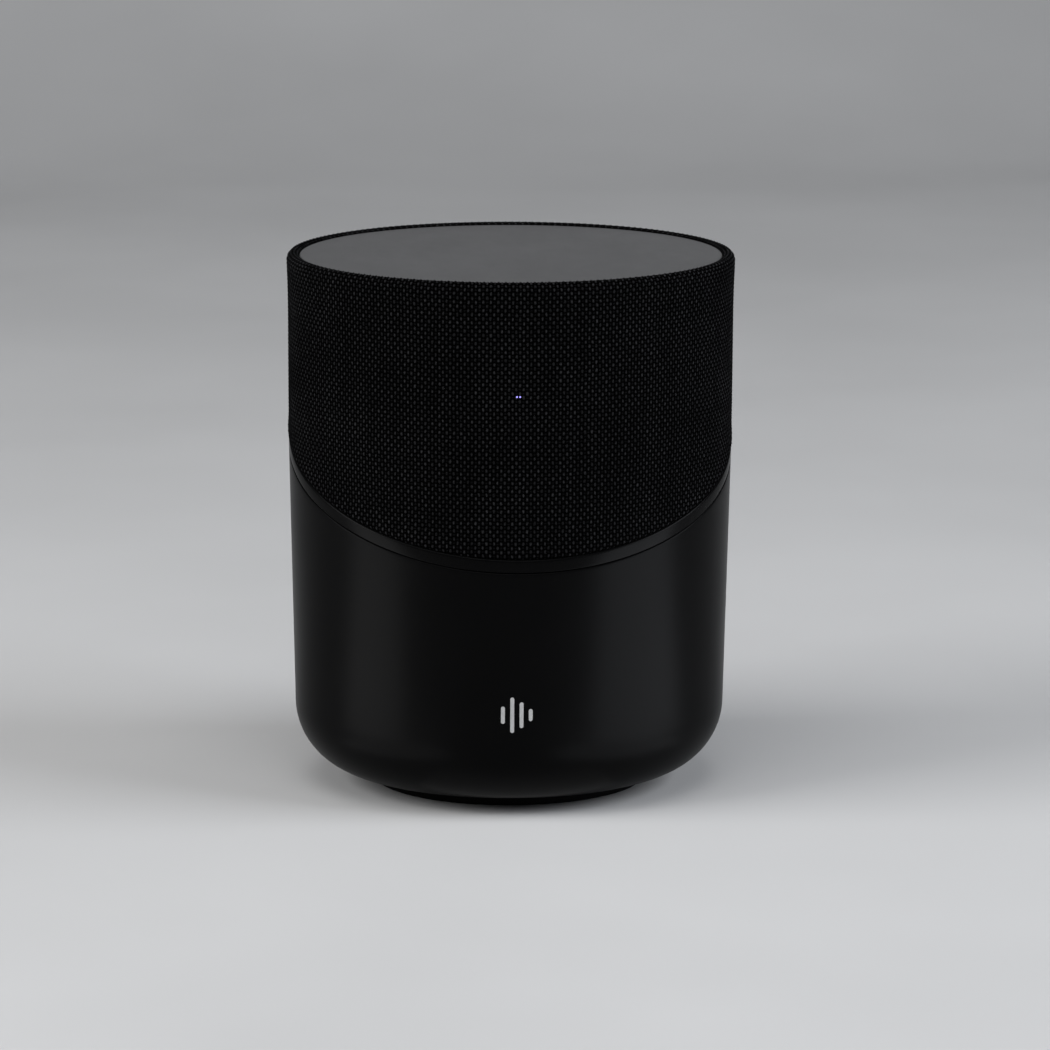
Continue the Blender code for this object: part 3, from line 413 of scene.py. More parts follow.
class Finish:
    """A Principled material, with its texture steps as short calls. Coordinates are the object's own."""

    def __init__(self, name, colour, roughness, metallic=0.0, **sockets):
        self.made = bpy.data.materials.new(name)
        self.made.use_nodes = True
        self.tree = self.made.node_tree
        self.shader = self.tree.nodes["Principled BSDF"]
        self.colour = colour
        self.set("Base Color", (*colour, 1.0))
        self.set("Roughness", roughness)
        self.set("Metallic", metallic)
        for socket, value in sockets.items():
            self.set(socket.replace("_", " "), value)
        self.where = self.node("ShaderNodeTexCoord").outputs["Object"]

    def set(self, socket, value):
        """A number or colour goes on the shader's own socket; a texture's output is linked."""
        if isinstance(value, bpy.types.NodeSocket):
            self.tree.links.new(value, self.shader.inputs[socket])
        else:
            self.shader.inputs[socket].default_value = value

    def node(self, kind, **settings):
        made = self.tree.nodes.new(kind)
        for name, value in settings.items():
            setattr(made, name, value)
        return made

    def feed(self, node, index, value):
        if isinstance(value, bpy.types.NodeSocket):
            self.tree.links.new(value, node.inputs[index])
        else:
            node.inputs[index].default_value = value

    def math(self, operation, *values, clamp=False):
        step = self.node("ShaderNodeMath", operation=operation, use_clamp=clamp)
        for index, value in enumerate(values):
            self.feed(step, index, value)
        return step.outputs[0]

    def split(self, vector):
        step = self.node("ShaderNodeSeparateXYZ")
        self.feed(step, 0, vector)
        return step.outputs

    def vector(self, x, y, z):
        step = self.node("ShaderNodeCombineXYZ")
        for index, value in enumerate((x, y, z)):
            self.feed(step, index, value)
        return step.outputs[0]

    def noise(self, scale, detail=2.0, where=None, roughness=0.5):
        step = self.node("ShaderNodeTexNoise")
        self.feed(step, "Vector", where or self.where)
        step.inputs["Scale"].default_value = scale
        step.inputs["Detail"].default_value = detail
        step.inputs["Roughness"].default_value = roughness
        return step.outputs["Fac"]

    def stretched(self, x, y, z):
        """Coordinates scaled along each axis, for streaks."""
        step = self.node("ShaderNodeMapping")
        self.feed(step, "Vector", self.where)
        step.inputs["Scale"].default_value = (x, y, z)
        return step.outputs[0]

    def ramp(self, value, low, high, start=0.0, end=1.0, smooth=False):
        step = self.node("ShaderNodeMapRange", interpolation_type="SMOOTHSTEP" if smooth else "LINEAR")
        for index, number in enumerate((value, low, high, start, end)):
            self.feed(step, index, number)
        return step.outputs[0]

    def mix(self, share, first, second):
        """A mix of two colours, each a socket or three numbers."""
        step = self.node("ShaderNodeMix", data_type="RGBA")
        for index, value in ((0, share), (6, first), (7, second)):
            self.feed(step, index, (*value, 1.0) if isinstance(value, tuple) else value)
        return step.outputs[2]

    def tint(self, share, dark, light):
        """Base colour that runs from dark to light times the finish's colour."""
        shades = scaled(self.colour, dark), scaled(self.colour, light)
        self.set("Base Color", self.mix(self.ramp(share, 0.3, 0.7), *shades))

    def rough(self, share, low, high):
        self.set("Roughness", self.ramp(share, 0.3, 0.7, low, high))

    def bump(self, height, distance):
        step = self.node("ShaderNodeBump")
        step.inputs["Distance"].default_value = distance
        self.feed(step, "Height", height)
        self.set("Normal", step.outputs[0])

    def edges(self, low, high):
        """1 along convex edges, broken up by noise, for wear and, on the band, a painted edge highlight."""
        sharp = self.ramp(self.node("ShaderNodeNewGeometry").outputs["Pointiness"], low, high)
        return self.math("MULTIPLY", sharp, self.ramp(self.noise(180.0, 4), 0.38, 0.62), clamp=True)


def moulded(name, colour, roughness, grain=2600.0, depth=0.00002, wear=0.03, **sockets):
    """Moulded plastic: spark-eroded grain, slow patches of polish, and lighter edges for rubbed wear, raised
    on the band into a painted highlight.
    """
    f = Finish(name, colour, roughness, **sockets)
    patches = f.noise(22.0, 4, roughness=0.6)
    rubbed_and_highlit_edges = f.edges(0.53, 0.62)
    base = f.mix(f.ramp(patches, 0.3, 0.7), scaled(colour, 0.88), scaled(colour, 1.12))
    worn_and_highlit = tuple(c + wear for c in colour)
    f.set("Base Color", f.mix(f.math("MULTIPLY", rubbed_and_highlit_edges, 0.5), base, worn_and_highlit))
    fine = f.noise(grain, 3, roughness=0.6)
    spread = f.math("ADD", f.math("MULTIPLY", patches, 0.10), f.math("MULTIPLY", fine, 0.08))
    f.set("Roughness", f.math("ADD", spread, roughness - 0.09))
    f.bump(fine, depth)
    return f.made


def rubber(name, colour):
    """Soft matte rubber with a fine grain and a little dust."""
    f = Finish(name, colour, 0.85, Specular_IOR_Level=0.05)
    dust = f.noise(90.0, 5, roughness=0.7)
    f.set("Base Color", f.mix(f.ramp(dust, 0.45, 0.80, 0.0, 0.5), colour, tuple(c + 0.003 for c in colour)))
    f.rough(dust, 0.78, 0.92)
    f.bump(f.noise(1800.0, 4, roughness=0.65), 0.00006)
    return f.made


def metal(name, colour, roughness):
    """Bare or plated metal: fine lines along one way, and slow cloudy patches."""
    f = Finish(name, colour, roughness, 1.0)
    lines = f.noise(1.0, 3, where=f.stretched(60.0, 60.0, 3000.0))
    cloud = f.noise(45.0, 4)
    f.tint(cloud, 0.75, 1.1)
    blend = f.math("ADD", f.math("MULTIPLY", lines, 0.5), f.math("MULTIPLY", cloud, 0.5))
    f.rough(blend, roughness - 0.08, roughness + 0.12)
    f.bump(lines, 0.00001)
    return f.made


def weave_finish():
    """Black plain weave in a checkerboard: shade painted into the gaps and over the lower crosswise floats,
    and a painted highlight speck on each upright float.
    The UV map counts threads: U round the body and V down from the rim."""
    f = Finish("black_plain_weave", (0.012, 0.012, 0.013), 0.70, Specular_IOR_Level=0.003)
    uv = f.node("ShaderNodeUVMap", uv_map="weave").outputs[0]
    u0, v0, _ = f.split(uv)

    def sway(scale, where, most):
        """A slow drift of the threads, so that the grid isn't ruled."""
        return f.math("MULTIPLY", f.math("SUBTRACT", f.noise(scale, 2, where=where), 0.5), most)

    u = f.math("ADD", u0, f.math("ADD", sway(0.11, uv, 0.60), sway(0.9, uv, 0.46)))
    crossed = f.vector(v0, u0, 3.0)
    v = f.math("ADD", v0, f.math("ADD", sway(0.09, crossed, 0.60), sway(0.9, crossed, 0.46)))
    column, row = f.math("FLOOR", u), f.math("FLOOR", v)
    across = f.math("SUBTRACT", f.math("FRACT", u), 0.5)
    along = f.math("SUBTRACT", f.math("FRACT", v), 0.5)
    upright = f.math("LESS_THAN", f.math("MODULO", f.math("ABSOLUTE", f.math("ADD", column, row)), 2.0), 0.5)
    crosswise = f.math("SUBTRACT", 1.0, upright)

    def float_of(a, b, wide, long):
        """An ellipse's dome, 1 in the middle and 0 outside."""
        a, b = f.math("DIVIDE", a, wide), f.math("DIVIDE", b, long)
        inside = f.math("SUBTRACT", 1.0, f.math("ADD", f.math("MULTIPLY", a, a), f.math("MULTIPLY", b, b)))
        return f.math("SQRT", f.math("MAXIMUM", inside, 0.0))

    tall = f.math("MULTIPLY", float_of(across, along, 0.42, 0.60), upright)
    flat = f.math("MULTIPLY", float_of(along, across, 0.32, 0.46), crosswise)
    height = f.math("MAXIMUM", tall, f.math("MULTIPLY", flat, 0.50))
    each = f.node("ShaderNodeTexWhiteNoise", noise_dimensions="2D")
    f.feed(each, "Vector", f.vector(column, row, 0.0))
    strand = f.node("ShaderNodeTexWhiteNoise", noise_dimensions="1D")
    f.feed(strand, "W", column)
    slanted = f.math("ADD", f.math("MULTIPLY", u, 9.0), f.math("MULTIPLY", v, 5.0))
    twist = f.noise(1.0, 2, where=f.vector(slanted, f.math("MULTIPLY", v, 1.5), 0.0))
    by_cell = f.ramp(each.outputs["Value"], 0.0, 1.0, 0.30, 1.70)
    by_strand = f.ramp(strand.outputs["Value"], 0.0, 1.0, 0.85, 1.15)
    by_patch = f.ramp(f.noise(26.0, 3), 0.35, 0.65, 0.85, 1.15)
    # Painted shade: the tone falls from each float's top into the gaps between threads. Painted highlight: a
    # bright speck on top of each upright float, its strength changing from cell to cell.
    thread = f.math("MULTIPLY", f.ramp(height, 0.12, 0.80, smooth=True), 0.24)
    speck = f.math("MULTIPLY", f.ramp(tall, 0.76, 1.0, smooth=True), f.math("MULTIPLY", by_cell, 0.42))
    lit = f.math("ADD", thread, speck)
    for share in (by_strand, by_patch, f.ramp(twist, 0.35, 0.65, 0.6, 1.4)):
        lit = f.math("MULTIPLY", lit, share)
    bright = f.math("MINIMUM", lit, 1.0)
    f.set("Base Color", f.mix(bright, (0.0002, 0.0002, 0.0002), (0.036, 0.036, 0.038)))
    f.set("Roughness", f.ramp(twist, 0.3, 0.7, 0.62, 0.82))
    f.bump(f.math("ADD", height, f.math("MULTIPLY", twist, 0.18)), 0.00030)
    return f.made


def board_finish():
    """Green solder mask with lighter tracks and small plated pads."""
    f = Finish("green_solder_mask", (0.010, 0.070, 0.032), 0.42)
    tracks = f.node("ShaderNodeTexBrick", offset=0.37, squash=1.4)
    f.feed(tracks, "Vector", f.where)
    tracks.inputs["Scale"].default_value = 140.0
    tracks.inputs["Mortar Size"].default_value = 0.05
    pads = f.node("ShaderNodeTexVoronoi")
    f.feed(pads, "Vector", f.where)
    pads.inputs["Scale"].default_value = 260.0
    pad = f.ramp(pads.outputs["Distance"], 0.10, 0.14, 1.0, 0.0)
    green = f.mix(tracks.outputs["Fac"], (0.008, 0.060, 0.028), (0.020, 0.120, 0.055))
    f.set("Base Color", f.mix(pad, green, (0.45, 0.40, 0.22)))
    f.set("Metallic", pad)
    f.rough(f.noise(400.0, 3), 0.35, 0.50)
    f.bump(f.math("ADD", tracks.outputs["Fac"], pad), 0.00003)
    return f.made


def cloth_finish(name, colour):
    """Resin-dipped cloth: a fine square weave under a waxy coat."""
    f = Finish(name, colour, 0.75)
    x, y, z = f.split(f.where)
    lines = [f.math("ABSOLUTE", f.math("SINE", f.math("MULTIPLY", axis, 5200.0))) for axis in (x, y, z)]
    web = f.math("MULTIPLY", f.math("MAXIMUM", lines[0], lines[1]), f.math("ADD", 0.5, lines[2]))
    f.set("Base Color", f.mix(f.ramp(web, 0.2, 1.2), scaled(colour, 0.6), scaled(colour, 1.15)))
    f.rough(f.noise(70.0, 3), 0.6, 0.85)
    f.bump(web, 0.00006)
    return f.made


def winding_finish():
    """Enamelled copper wire wound in close turns."""
    f = Finish("enamelled_copper", (0.60, 0.25, 0.10), 0.32, 1.0)
    z = f.split(f.where)[2]
    turns = f.math("ABSOLUTE", f.math("SINE", f.math("MULTIPLY", z, 9000.0)))
    f.set("Base Color", f.mix(turns, (0.30, 0.10, 0.04), (0.72, 0.32, 0.14)))
    f.rough(f.noise(120.0, 3), 0.25, 0.42)
    f.bump(turns, 0.00012)
    return f.made


def panel_finish():
    """The touch panel: neutral grey, frosted evenly, with faint finger smears in its gloss."""
    f = Finish("frosted_grey_panel", (0.082, 0.082, 0.0835), 0.50, Specular_IOR_Level=0.25)
    cloud = f.noise(14.0, 4)
    speck = f.noise(5200.0, 2)
    shade = f.math("ADD", f.math("MULTIPLY", cloud, 0.55), f.math("MULTIPLY", speck, 0.45))
    f.tint(shade, 0.93, 1.07)
    smear = f.noise(1.0, 5, where=f.stretched(38.0, 16.0, 1.0), roughness=0.65)
    f.set("Roughness", f.ramp(smear, 0.3, 0.7, 0.46, 0.56))
    f.bump(speck, 0.000012)
    return f.made


def ink_finish():
    """Pale printed ink, a little uneven, with pinholes at its edges."""
    f = Finish("pale_ink", (0.52, 0.52, 0.52), 0.5)
    f.tint(f.noise(900.0, 4), 0.90, 1.06)
    f.rough(f.noise(2500.0, 2), 0.42, 0.58)
    f.bump(f.noise(3000.0, 2), 0.00001)
    return f.made


def glow_finish():
    """A status light: a milky lens that glows violet-blue, brighter in its middle."""
    f = Finish("status_light_lens", (0.30, 0.28, 0.70), 0.35)
    f.set("Emission Color", (0.32, 0.26, 1.0, 1.0))
    x, _, z = f.split(f.where)
    dx = f.math("SUBTRACT", f.math("ABSOLUTE", f.math("SUBTRACT", x, LIGHTS_X)), LIGHT_OFFSET)
    dz = f.math("SUBTRACT", z, LIGHTS_Z)
    far = f.math("SQRT", f.math("ADD", f.math("MULTIPLY", dx, dx), f.math("MULTIPLY", dz, dz)))
    f.set("Emission Strength", f.ramp(far, 0.0001, 0.00036, 1.9, 0.04))
    f.tint(f.noise(1500.0, 2), 0.9, 1.1)
    f.bump(f.noise(2500.0, 2), 0.00001)
    return f.made


def make_finishes():
    """One finish for each material slot of the record, and the mark's ink."""
    near_black = (0.0022, 0.0022, 0.0023)
    satin_shell = {"depth": 0.000012, "wear": 0.006, "Specular_IOR_Level": 0.033}
    # The band's edges are lightened more than the shell's: some wear, and a painted highlight along its top
    # chamfer.
    satin_band = {"depth": 0.000010, "wear": 0.014, "Specular_IOR_Level": 0.038}
    matte_mould = {"grain": 1500.0, "depth": 0.00005, "Specular_IOR_Level": 0.20}
    see_through = {"Transmission_Weight": 0.6}
    return {
        "shell_black": moulded("satin_black_shell", near_black, 0.33, **satin_shell),
        "band_black": moulded("satin_black_band", near_black, 0.28, **satin_band),
        "fabric_black": weave_finish(),
        "panel_grey": panel_finish(),
        "moulded_black": moulded("matte_black_mould", (0.0075, 0.0075, 0.0078), 0.56, **matte_mould),
        "rubber_black": rubber("black_rubber", (0.0020, 0.0020, 0.0020)),
        "circuit_board": board_finish(),
        "zinc_steel": metal("zinc_plated_steel", (0.58, 0.58, 0.57), 0.34),
        "black_steel": metal("blackened_steel", (0.045, 0.045, 0.047), 0.42),
        "aluminium": metal("bare_aluminium", (0.66, 0.66, 0.68), 0.36),
        "ferrite": moulded("sintered_ferrite", (0.040, 0.040, 0.044), 0.62, 900.0, 0.00012),
        "cone_paper": moulded("coated_paper_pulp", (0.020, 0.020, 0.020), 0.74, 420.0, 0.00018),
        "dipped_cloth": cloth_finish("resin_dipped_cloth", (0.38, 0.24, 0.07)),
        "copper": winding_finish(),
        "plated_pin": metal("nickel_plated_brass", (0.62, 0.58, 0.50), 0.24),
        "diffuser": moulded("clear_acrylic_guide", (0.70, 0.70, 0.74), 0.26, 800.0, **see_through),
        "yellow_tape": moulded("amber_tape", (0.47, 0.36, 0.05), 0.38, 500.0, 0.00008),
        "led_lens": glow_finish(),
        "ink": ink_finish(),
        "wire_black": moulded("black_insulation", (0.020, 0.020, 0.020), 0.48, 1200.0, 0.00005),
    }


# The outside.


def shell_section(angle):
    """The shell's wall, round corner and base lip, outside and in."""
    top_r, top_h = meet(angle, SHELL_TOP)
    inner_r, inner_h = meet(angle, SHELL_TOP, WALL)
    walls = [(half_width(h), h, 0.0) for h in blend_line(top_h, CORNER_Z, 30)[1:-1]]
    corner = [(r, h, 0.0) for r, h in arc((CORNER_R, CORNER_Z), (CORNER_RADIUS,) * 2, 0, -90, 20)]
    inside = CORNER_RADIUS - WALL
    back = [(r, h, 0.0) for r, h in arc((CORNER_R, CORNER_Z), (inside,) * 2, -90, 0, 12)]
    rise = [(half_width(h, WALL), h, 0.0) for h in blend_line(CORNER_Z, inner_h, 12)[1:-1]]
    lip = [(BASE_OPENING, SHELL_BOTTOM, LIP_EASE), (BASE_OPENING, SHELL_BOTTOM + WALL, 0.0)]
    outside = [(top_r, top_h, SHELL_EASE)] + walls + corner
    return eased(outside + lip + back + rise + [(inner_r, inner_h, 0.0)])


def band_section(angle):
    """The band's small section, its outer edges eased, a little off the shell for a shadow line."""
    low = SPLIT_HEIGHT - BAND_HEIGHT + BAND_LIFT
    corners = [(*meet(angle, SPLIT_HEIGHT), BAND_TOP_EASE), (*meet(angle, low), BAND_FOOT_EASE)]
    corners += [(*meet(angle, low, BAND_WALL), 0.0), (*meet(angle, SPLIT_HEIGHT, BAND_WALL), 0.0)]
    return eased(corners)


def body_fill():
    """The whole outside as a solid, to trim pieces that lie flush with it."""
    top = 0.200
    line = [(half_width(h), h) for h in blend_line(top, CORNER_Z, 60)[:-1]]
    line += arc((CORNER_R, CORNER_Z), (CORNER_RADIUS,) * 2, 0, -90, 20)
    return turned("body_fill", [(0, top)] + line + [(0, SHELL_BOTTOM)], COLUMNS, oval=True)


def box_slab(name, box, grow, low_y, high_y, radius):
    """A block with round corners, as large as a node's box and a margin, between two depths."""
    low, high = box
    corners = (low.x - grow, low_y, low.z - grow), (high.x + grow, high_y, high.z + grow)
    return rounded_slab(name, *corners, radius)


def make_shell(finishes):
    shell = swept("shell_cup", shell_section)
    boolean(shell, box_slab("tray_opening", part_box("io_panel"), GAP, 0.050, BEHIND, 0.0019))
    show(shell, finishes, "housing", "shell_black", "lower_shell")
    band = swept("slanted_trim_band", band_section)
    show(band, finishes, "housing", "band_black", "trim_band")


def arc_lengths(columns):
    """The angle of each of the columns, spaced evenly along the oval's edge from +X."""
    fine = np.linspace(0.0, 2 * math.pi, 7200 + 1)
    speed = np.hypot(np.sin(fine), DEPTH_RATIO * np.cos(fine))
    length = np.concatenate([[0.0], np.cumsum((speed[1:] + speed[:-1]) / 2)])
    return np.interp(np.arange(columns) * length[-1] / columns, length, fine)


def sock_profile():
    """The outer line of (radius, height): panel edge, rolled crown, fading bulge and wall."""
    inner, fade_end = PANEL_HIGH.x + GAP, RIM_HEIGHT - RIM_FADE
    edge = [(inner, RIM_TOP - 0.0013), (inner + 0.0007, RIM_TOP - 0.0004)]
    roll = (RIM_ROLL + RIM_BULGE, RIM_TOP - RIM_HEIGHT)
    crown = arc((HALF_WIDTH - RIM_ROLL, RIM_HEIGHT), roll, 80, 0, 24)
    shares = blend_line(0.05, 1.0, 16)
    fade = [(HALF_WIDTH + RIM_BULGE * (1 - t) ** 2, RIM_HEIGHT - RIM_FADE * t) for t in shares]
    wall = [(half_width(h), h) for h in blend_line(fade_end, SOCK_BOTTOM, 80)[1:]]
    return np.array(edge + crown + fade + wall)


def sock_outside(angles):
    """A row of points for each half row of the weave, highest where an upright thread is on top."""
    line = sock_profile()
    length = np.concatenate([[0.0], np.cumsum(np.hypot(*np.diff(line, axis=0).T))])
    marks = np.arange(int(length[-1] / (ROW_PITCH / 2)) + 1) * ROW_PITCH / 2
    r, h = np.interp(marks, length, line[:, 0]), np.interp(marks, length, line[:, 1])
    out_r, out_h = -np.gradient(h, marks), np.gradient(r, marks)
    scale = np.hypot(out_r, out_h)
    out_r, out_h = out_r / scale, out_h / scale
    row, column = np.meshgrid(np.arange(len(marks)), np.arange(len(angles)), indexing="ij")
    middle = (row % 2 == 1) & (column % 2 == 1)
    upright = (row // 2 + column // 2) % 2 == 0
    relief = WEAVE_RELIEF + RIM_RELIEF * np.clip((h - RELIEF_START) / RELIEF_SPAN, 0, 1)
    lift = np.where(middle & upright, 0.0, np.where(middle, UNDER, BETWEEN)) * relief[:, None]
    lift *= np.clip(marks / SMOOTH_EDGE, 0, 1)[:, None]
    turn = angles[column]
    split = SPLIT_HEIGHT + GAP + SPLIT_SLOPE * DEPTH_RATIO * r[:, None] * np.sin(turn)
    above = h[:, None] - split
    swell = np.clip(1 - above / HEM_FADE, 0, 1) ** 2
    tuck = np.clip(1 - above / HEM_EDGE, 0, 1) ** 2
    radius = r[:, None] + lift * out_r[:, None] + HEM_PROUD * (swell - HEM_TUCK * tuck)
    height = h[:, None] + lift * out_h[:, None]
    return np.stack([radius * np.cos(turn), DEPTH_RATIO * radius * np.sin(turn), height], -1)


def sock_inside(angles):
    """Rows of points for the lining, from the lowest up to the panel's edge."""
    top, fit = SLEEVE_HIGH.z + GAP, HALF_WIDTH - CLOTH
    lining = [(half_width(z, CLOTH), z) for z in (SOCK_BOTTOM, 0.1210, 0.1410)]
    lining += [(fit, DRAFT_START), (fit, top), (PANEL_HIGH.x + GAP, top)]
    across, deep = np.cos(angles), DEPTH_RATIO * np.sin(angles)
    return np.array([np.stack([r * across, r * deep, np.full_like(across, z)], -1) for r, z in lining])


def map_threads(mesh, levels, columns):
    """The UV map: threads round the body, and rows of the weave down from the rim."""
    u_near = np.broadcast_to(np.arange(columns)[None, :] / 2, (levels, columns))
    v_here = np.broadcast_to(np.arange(levels)[:, None] / 2, (levels, columns))
    u_far, v_below = u_near + 0.5, v_here + 0.5
    corners = np.stack([u_near, v_here, u_near, v_below, u_far, v_below, u_far, v_here], -1)
    mesh.uv_layers.new(name="weave").data.foreach_set("uv", corners.astype(np.float32).ravel())


def make_fabric(finishes):
    """A sock of plain weave, rolled over the rim. Each thread crossing is a real rise in the mesh."""
    columns = THREADS * 2
    angles = arc_lengths(columns)
    grid = np.concatenate([sock_outside(angles), sock_inside(angles)], 0)
    levels = len(grid)
    a = np.arange(levels)[:, None] * columns + np.arange(columns)[None, :]
    b = np.roll(a, -1, axis=1)
    faces = np.stack([a, np.roll(a, -1, axis=0), np.roll(b, -1, axis=0), b], -1).reshape(-1, 4)
    mesh = bpy.data.meshes.new("woven_grille_sock")
    mesh.from_pydata(grid.reshape(-1, 3).tolist(), [], faces.tolist())
    map_threads(mesh, levels, columns)
    sock = link("woven_grille_sock", mesh)
    trim_at_split(sock, SPLIT_HEIGHT + GAP)
    mesh.shade_smooth()
    show(sock, finishes, "housing", "fabric_black", "grille_fabric")


def trim_at_split(piece, axis_height):
    """Cuts a closed piece off below a slanted plane and closes the cut."""
    bm = bmesh.new()
    bm.from_mesh(piece.data)
    made = bmesh.ops.bisect_plane(
        bm,
        geom=bm.verts[:] + bm.edges[:] + bm.faces[:],
        plane_co=(0, 0, axis_height),
        plane_no=(0, SPLIT_SLOPE, -1),
        clear_outer=True,
        dist=1e-6,
    )
    cut_edges = [e for e in made["geom_cut"] if isinstance(e, bmesh.types.BMEdge)]
    bmesh.ops.triangle_fill(bm, edges=cut_edges, normal=(0, SPLIT_SLOPE, -1))
    bm.to_mesh(piece.data)
    bm.free()


def make_panel(finishes):
    """The touch panel, with a fine rounded edge."""
    r, ease, under = PANEL_HIGH.x, 0.0006, 0.0002
    line = [(0, PANEL_HIGH.z), (r * 0.5, PANEL_HIGH.z)]
    line += arc((r - ease, PANEL_HIGH.z - ease), (ease, ease), 90, 0, 6)
    line += [(r, PANEL_LOW.z + under), (r - under, PANEL_LOW.z), (0, PANEL_LOW.z)]
    panel = turned("frosted_touch_panel", line, COLUMNS, oval=True)
    show(panel, finishes, "housing", "panel_grey", "touch_panel")


def make_emblem(finishes):
    """A generic mark of four level bars, printed low on the front. The ink has no slot of its own."""
    bars = ((-0.0053, 0.0034), (-0.00175, 0.0070), (0.0018, 0.0051), (0.0053, 0.0024))
    half, middle, thickness = 0.00075, 0.0431, 0.00008
    points, faces = [], []
    for offset, tall in bars:
        x = LIGHTS_X + offset
        outline = arc((x, middle + tall - half), (half, half), 0, 180, 10)
        outline += arc((x, middle - tall + half), (half, half), 180, 360, 10)
        first, n = len(points), len(outline)
        for away in (thickness / 2, -thickness / 2):
            for px, pz in outline:
                depth = DEPTH_RATIO * math.sqrt(half_width(pz) ** 2 - px**2)
                points.append((px, -depth - away, pz))
        faces.append(tuple(range(first, first + n)))
        faces.append(tuple(reversed(range(first + n, first + 2 * n))))
        for i in range(n):
            j = (i + 1) % n
            faces.append((first + j, first + i, first + n + i, first + n + j))
    mark = make_mesh("level_bars_print", points, faces)
    show(mark, {"plated_pin": finishes["ink"]}, "housing", "plated_pin")


def make_lights(finishes):
    """Two tiny lenses that end flush with the outside of the weave."""
    crown, front = 0.00012, -DEPTH_RATIO * HALF_WIDTH - 0.00005
    for side in ("left", "right"):
        low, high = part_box(f"status_led_{side}")
        radius, back = (high.x - low.x) / 2 - 0.0001, low.y - high.y
        line = [(0, crown)] + arc((0, 0), (radius, crown), 60, 0, 3) + [(radius, back), (0, back)]
        lens = turned(f"status_lens_{side}", line, 24)
        lens.data.transform(Matrix.Rotation(math.pi / 2, 4, "X"))
        lens.data.transform(Matrix.Translation(((low.x + high.x) / 2, front, (low.z + high.z) / 2)))
        show(lens, finishes, "housing", "led_lens", f"status_led_{side}")


# The underside.


def make_foot(finishes):
    """The rubber ring, with three grip ridges turned into its sole."""
    outer, inner, top, groove = FOOT_HIGH.x, 0.0480, FOOT_HIGH.z, 0.0003
    corners = [(outer - 0.0003, top, 0.0003), (outer, top - 0.0006, 0.0003), (outer, 0.0007, 0.0006)]
    for k in range(3):
        middle = outer - 0.0013 - 0.0017 * k
        corners += [(middle + 0.00055, 0.0, 0.0), (middle - 0.00055, 0.0, 0.0)]
        corners += [(middle - 0.00070, groove, 0.0), (middle - 0.00100, groove, 0.0)]
    corners[-1:] = [(inner, groove, 0.0003), (inner, top, 0.0)]
    foot = turned("rubber_foot_ring", eased(corners), COLUMNS, oval=True, closed=True)
    show(foot, finishes, "housing", "rubber_black", "foot_ring")


def cut_field(plate, under):
    """A shallow, blank rating field in the underside."""
    low, high = (-0.0200, -0.0105, under - 0.001), (0.0200, 0.0105, under + 0.0003)
    boolean(plate, rounded_slab("rating_field", low, high, 0.0015, "z"))


def add_post(plate, x, y, foot):
    """A stepped post that carries the chassis inside."""
    top, shoulder, slim, stout, ease = 0.0392, 0.0147, 0.0023, 0.0038, 0.0003
    line = [(0, top), (slim - ease, top), (slim, top - ease), (slim, shoulder)]
    line += [(stout, shoulder), (stout, foot), (0, foot)]
    post = turned("post", line, 32)
    post.data.transform(Matrix.Translation((x, y, 0)))
    boolean(plate, post, "UNION")


def make_base(finishes):
    """The base plate: stepped rings, a blank rating field, screw wells and its posts inside."""
    low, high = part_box("base_plate")
    rim, under, over = high.x, low.z, low.z + 0.0024
    line = [(0, over), (rim, over), (rim, under)]
    for outer, inner, deep in ((0.0465, 0.0449, 0.0004), (0.0290, 0.0276, 0.0005)):
        line += [(outer, under), (outer - 0.0003, under + deep)]
        line += [(inner + 0.0003, under + deep), (inner, under)]
    plate = turned("ringed_base_plate", line + [(0, under)], 160, oval=True)
    cut_field(plate, under)
    for x in (-0.0350, 0.0350):
        for y in (-0.0250, 0.0250):
            add_post(plate, x, y, over - 0.0005)
    for number in range(1, 5):
        low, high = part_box(f"base_screw_{number}")
        hole = turned("hole", [(0, 0.02), (0.0019, 0.02), (0.0019, 0.0), (0, 0.0)], 32)
        hole.data.transform(Matrix.Translation(((low.x + high.x) / 2, (low.y + high.y) / 2, 0)))
        boolean(plate, hole)
    show(plate, finishes, "housing", "moulded_black", "base_plate")


SCREW_HEAD_TALL = 0.0020


def cross_screw(name, length):
    """A pan-head screw pointing down Z from its seat at 0, with a cross recess and a rolled thread."""
    head, shank, pitch, tall = 0.0028, 0.0015, 0.0006, SCREW_HEAD_TALL
    dome = arc((0, 0.0002), (head, tall - 0.0002), 90, 0, 8)
    line = [(0, dome[0][1])] + dome[1:] + [(head, 0.0), (shank, 0.0)]
    for k in range(int((length - 0.0015) / pitch)):
        root = -pitch * (k + 1)
        line += [(shank * 0.80, root), (shank, root - pitch / 2)]
    line += [(shank * 0.6, -length + 0.0004), (0, -length)]
    screw = turned(name, line, 40)
    long, wide = 0.00145, 0.0003
    for half_x, half_y in ((long, wide), (wide, long)):
        low, high = (-half_x, -half_y, tall - 0.0011), (half_x, half_y, tall + 0.001)
        boolean(screw, rounded_slab("recess", low, high, 0.0002, "z", 3))
    return screw


def make_screws(finishes):
    """The four base screws, driven up from below, each turned its own way."""
    pattern = cross_screw("screw_pattern", 0.0080)
    for number in range(1, 5):
        low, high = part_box(f"base_screw_{number}")
        screw = link(f"cross_head_base_screw_{number}", pattern.data.copy())
        seat = Vector(((low.x + high.x) / 2, (low.y + high.y) / 2, low.z + SCREW_HEAD_TALL))
        turn = Matrix.Rotation(math.pi, 4, "X") @ Matrix.Rotation(math.radians(17 + 31 * number), 4, "Z")
        screw.data.transform(Matrix.Translation(seat) @ turn)
        show(screw, finishes, "housing", "black_steel", f"base_screw_{number}")
    bpy.data.objects.remove(pattern)


# The connector tray at the back.


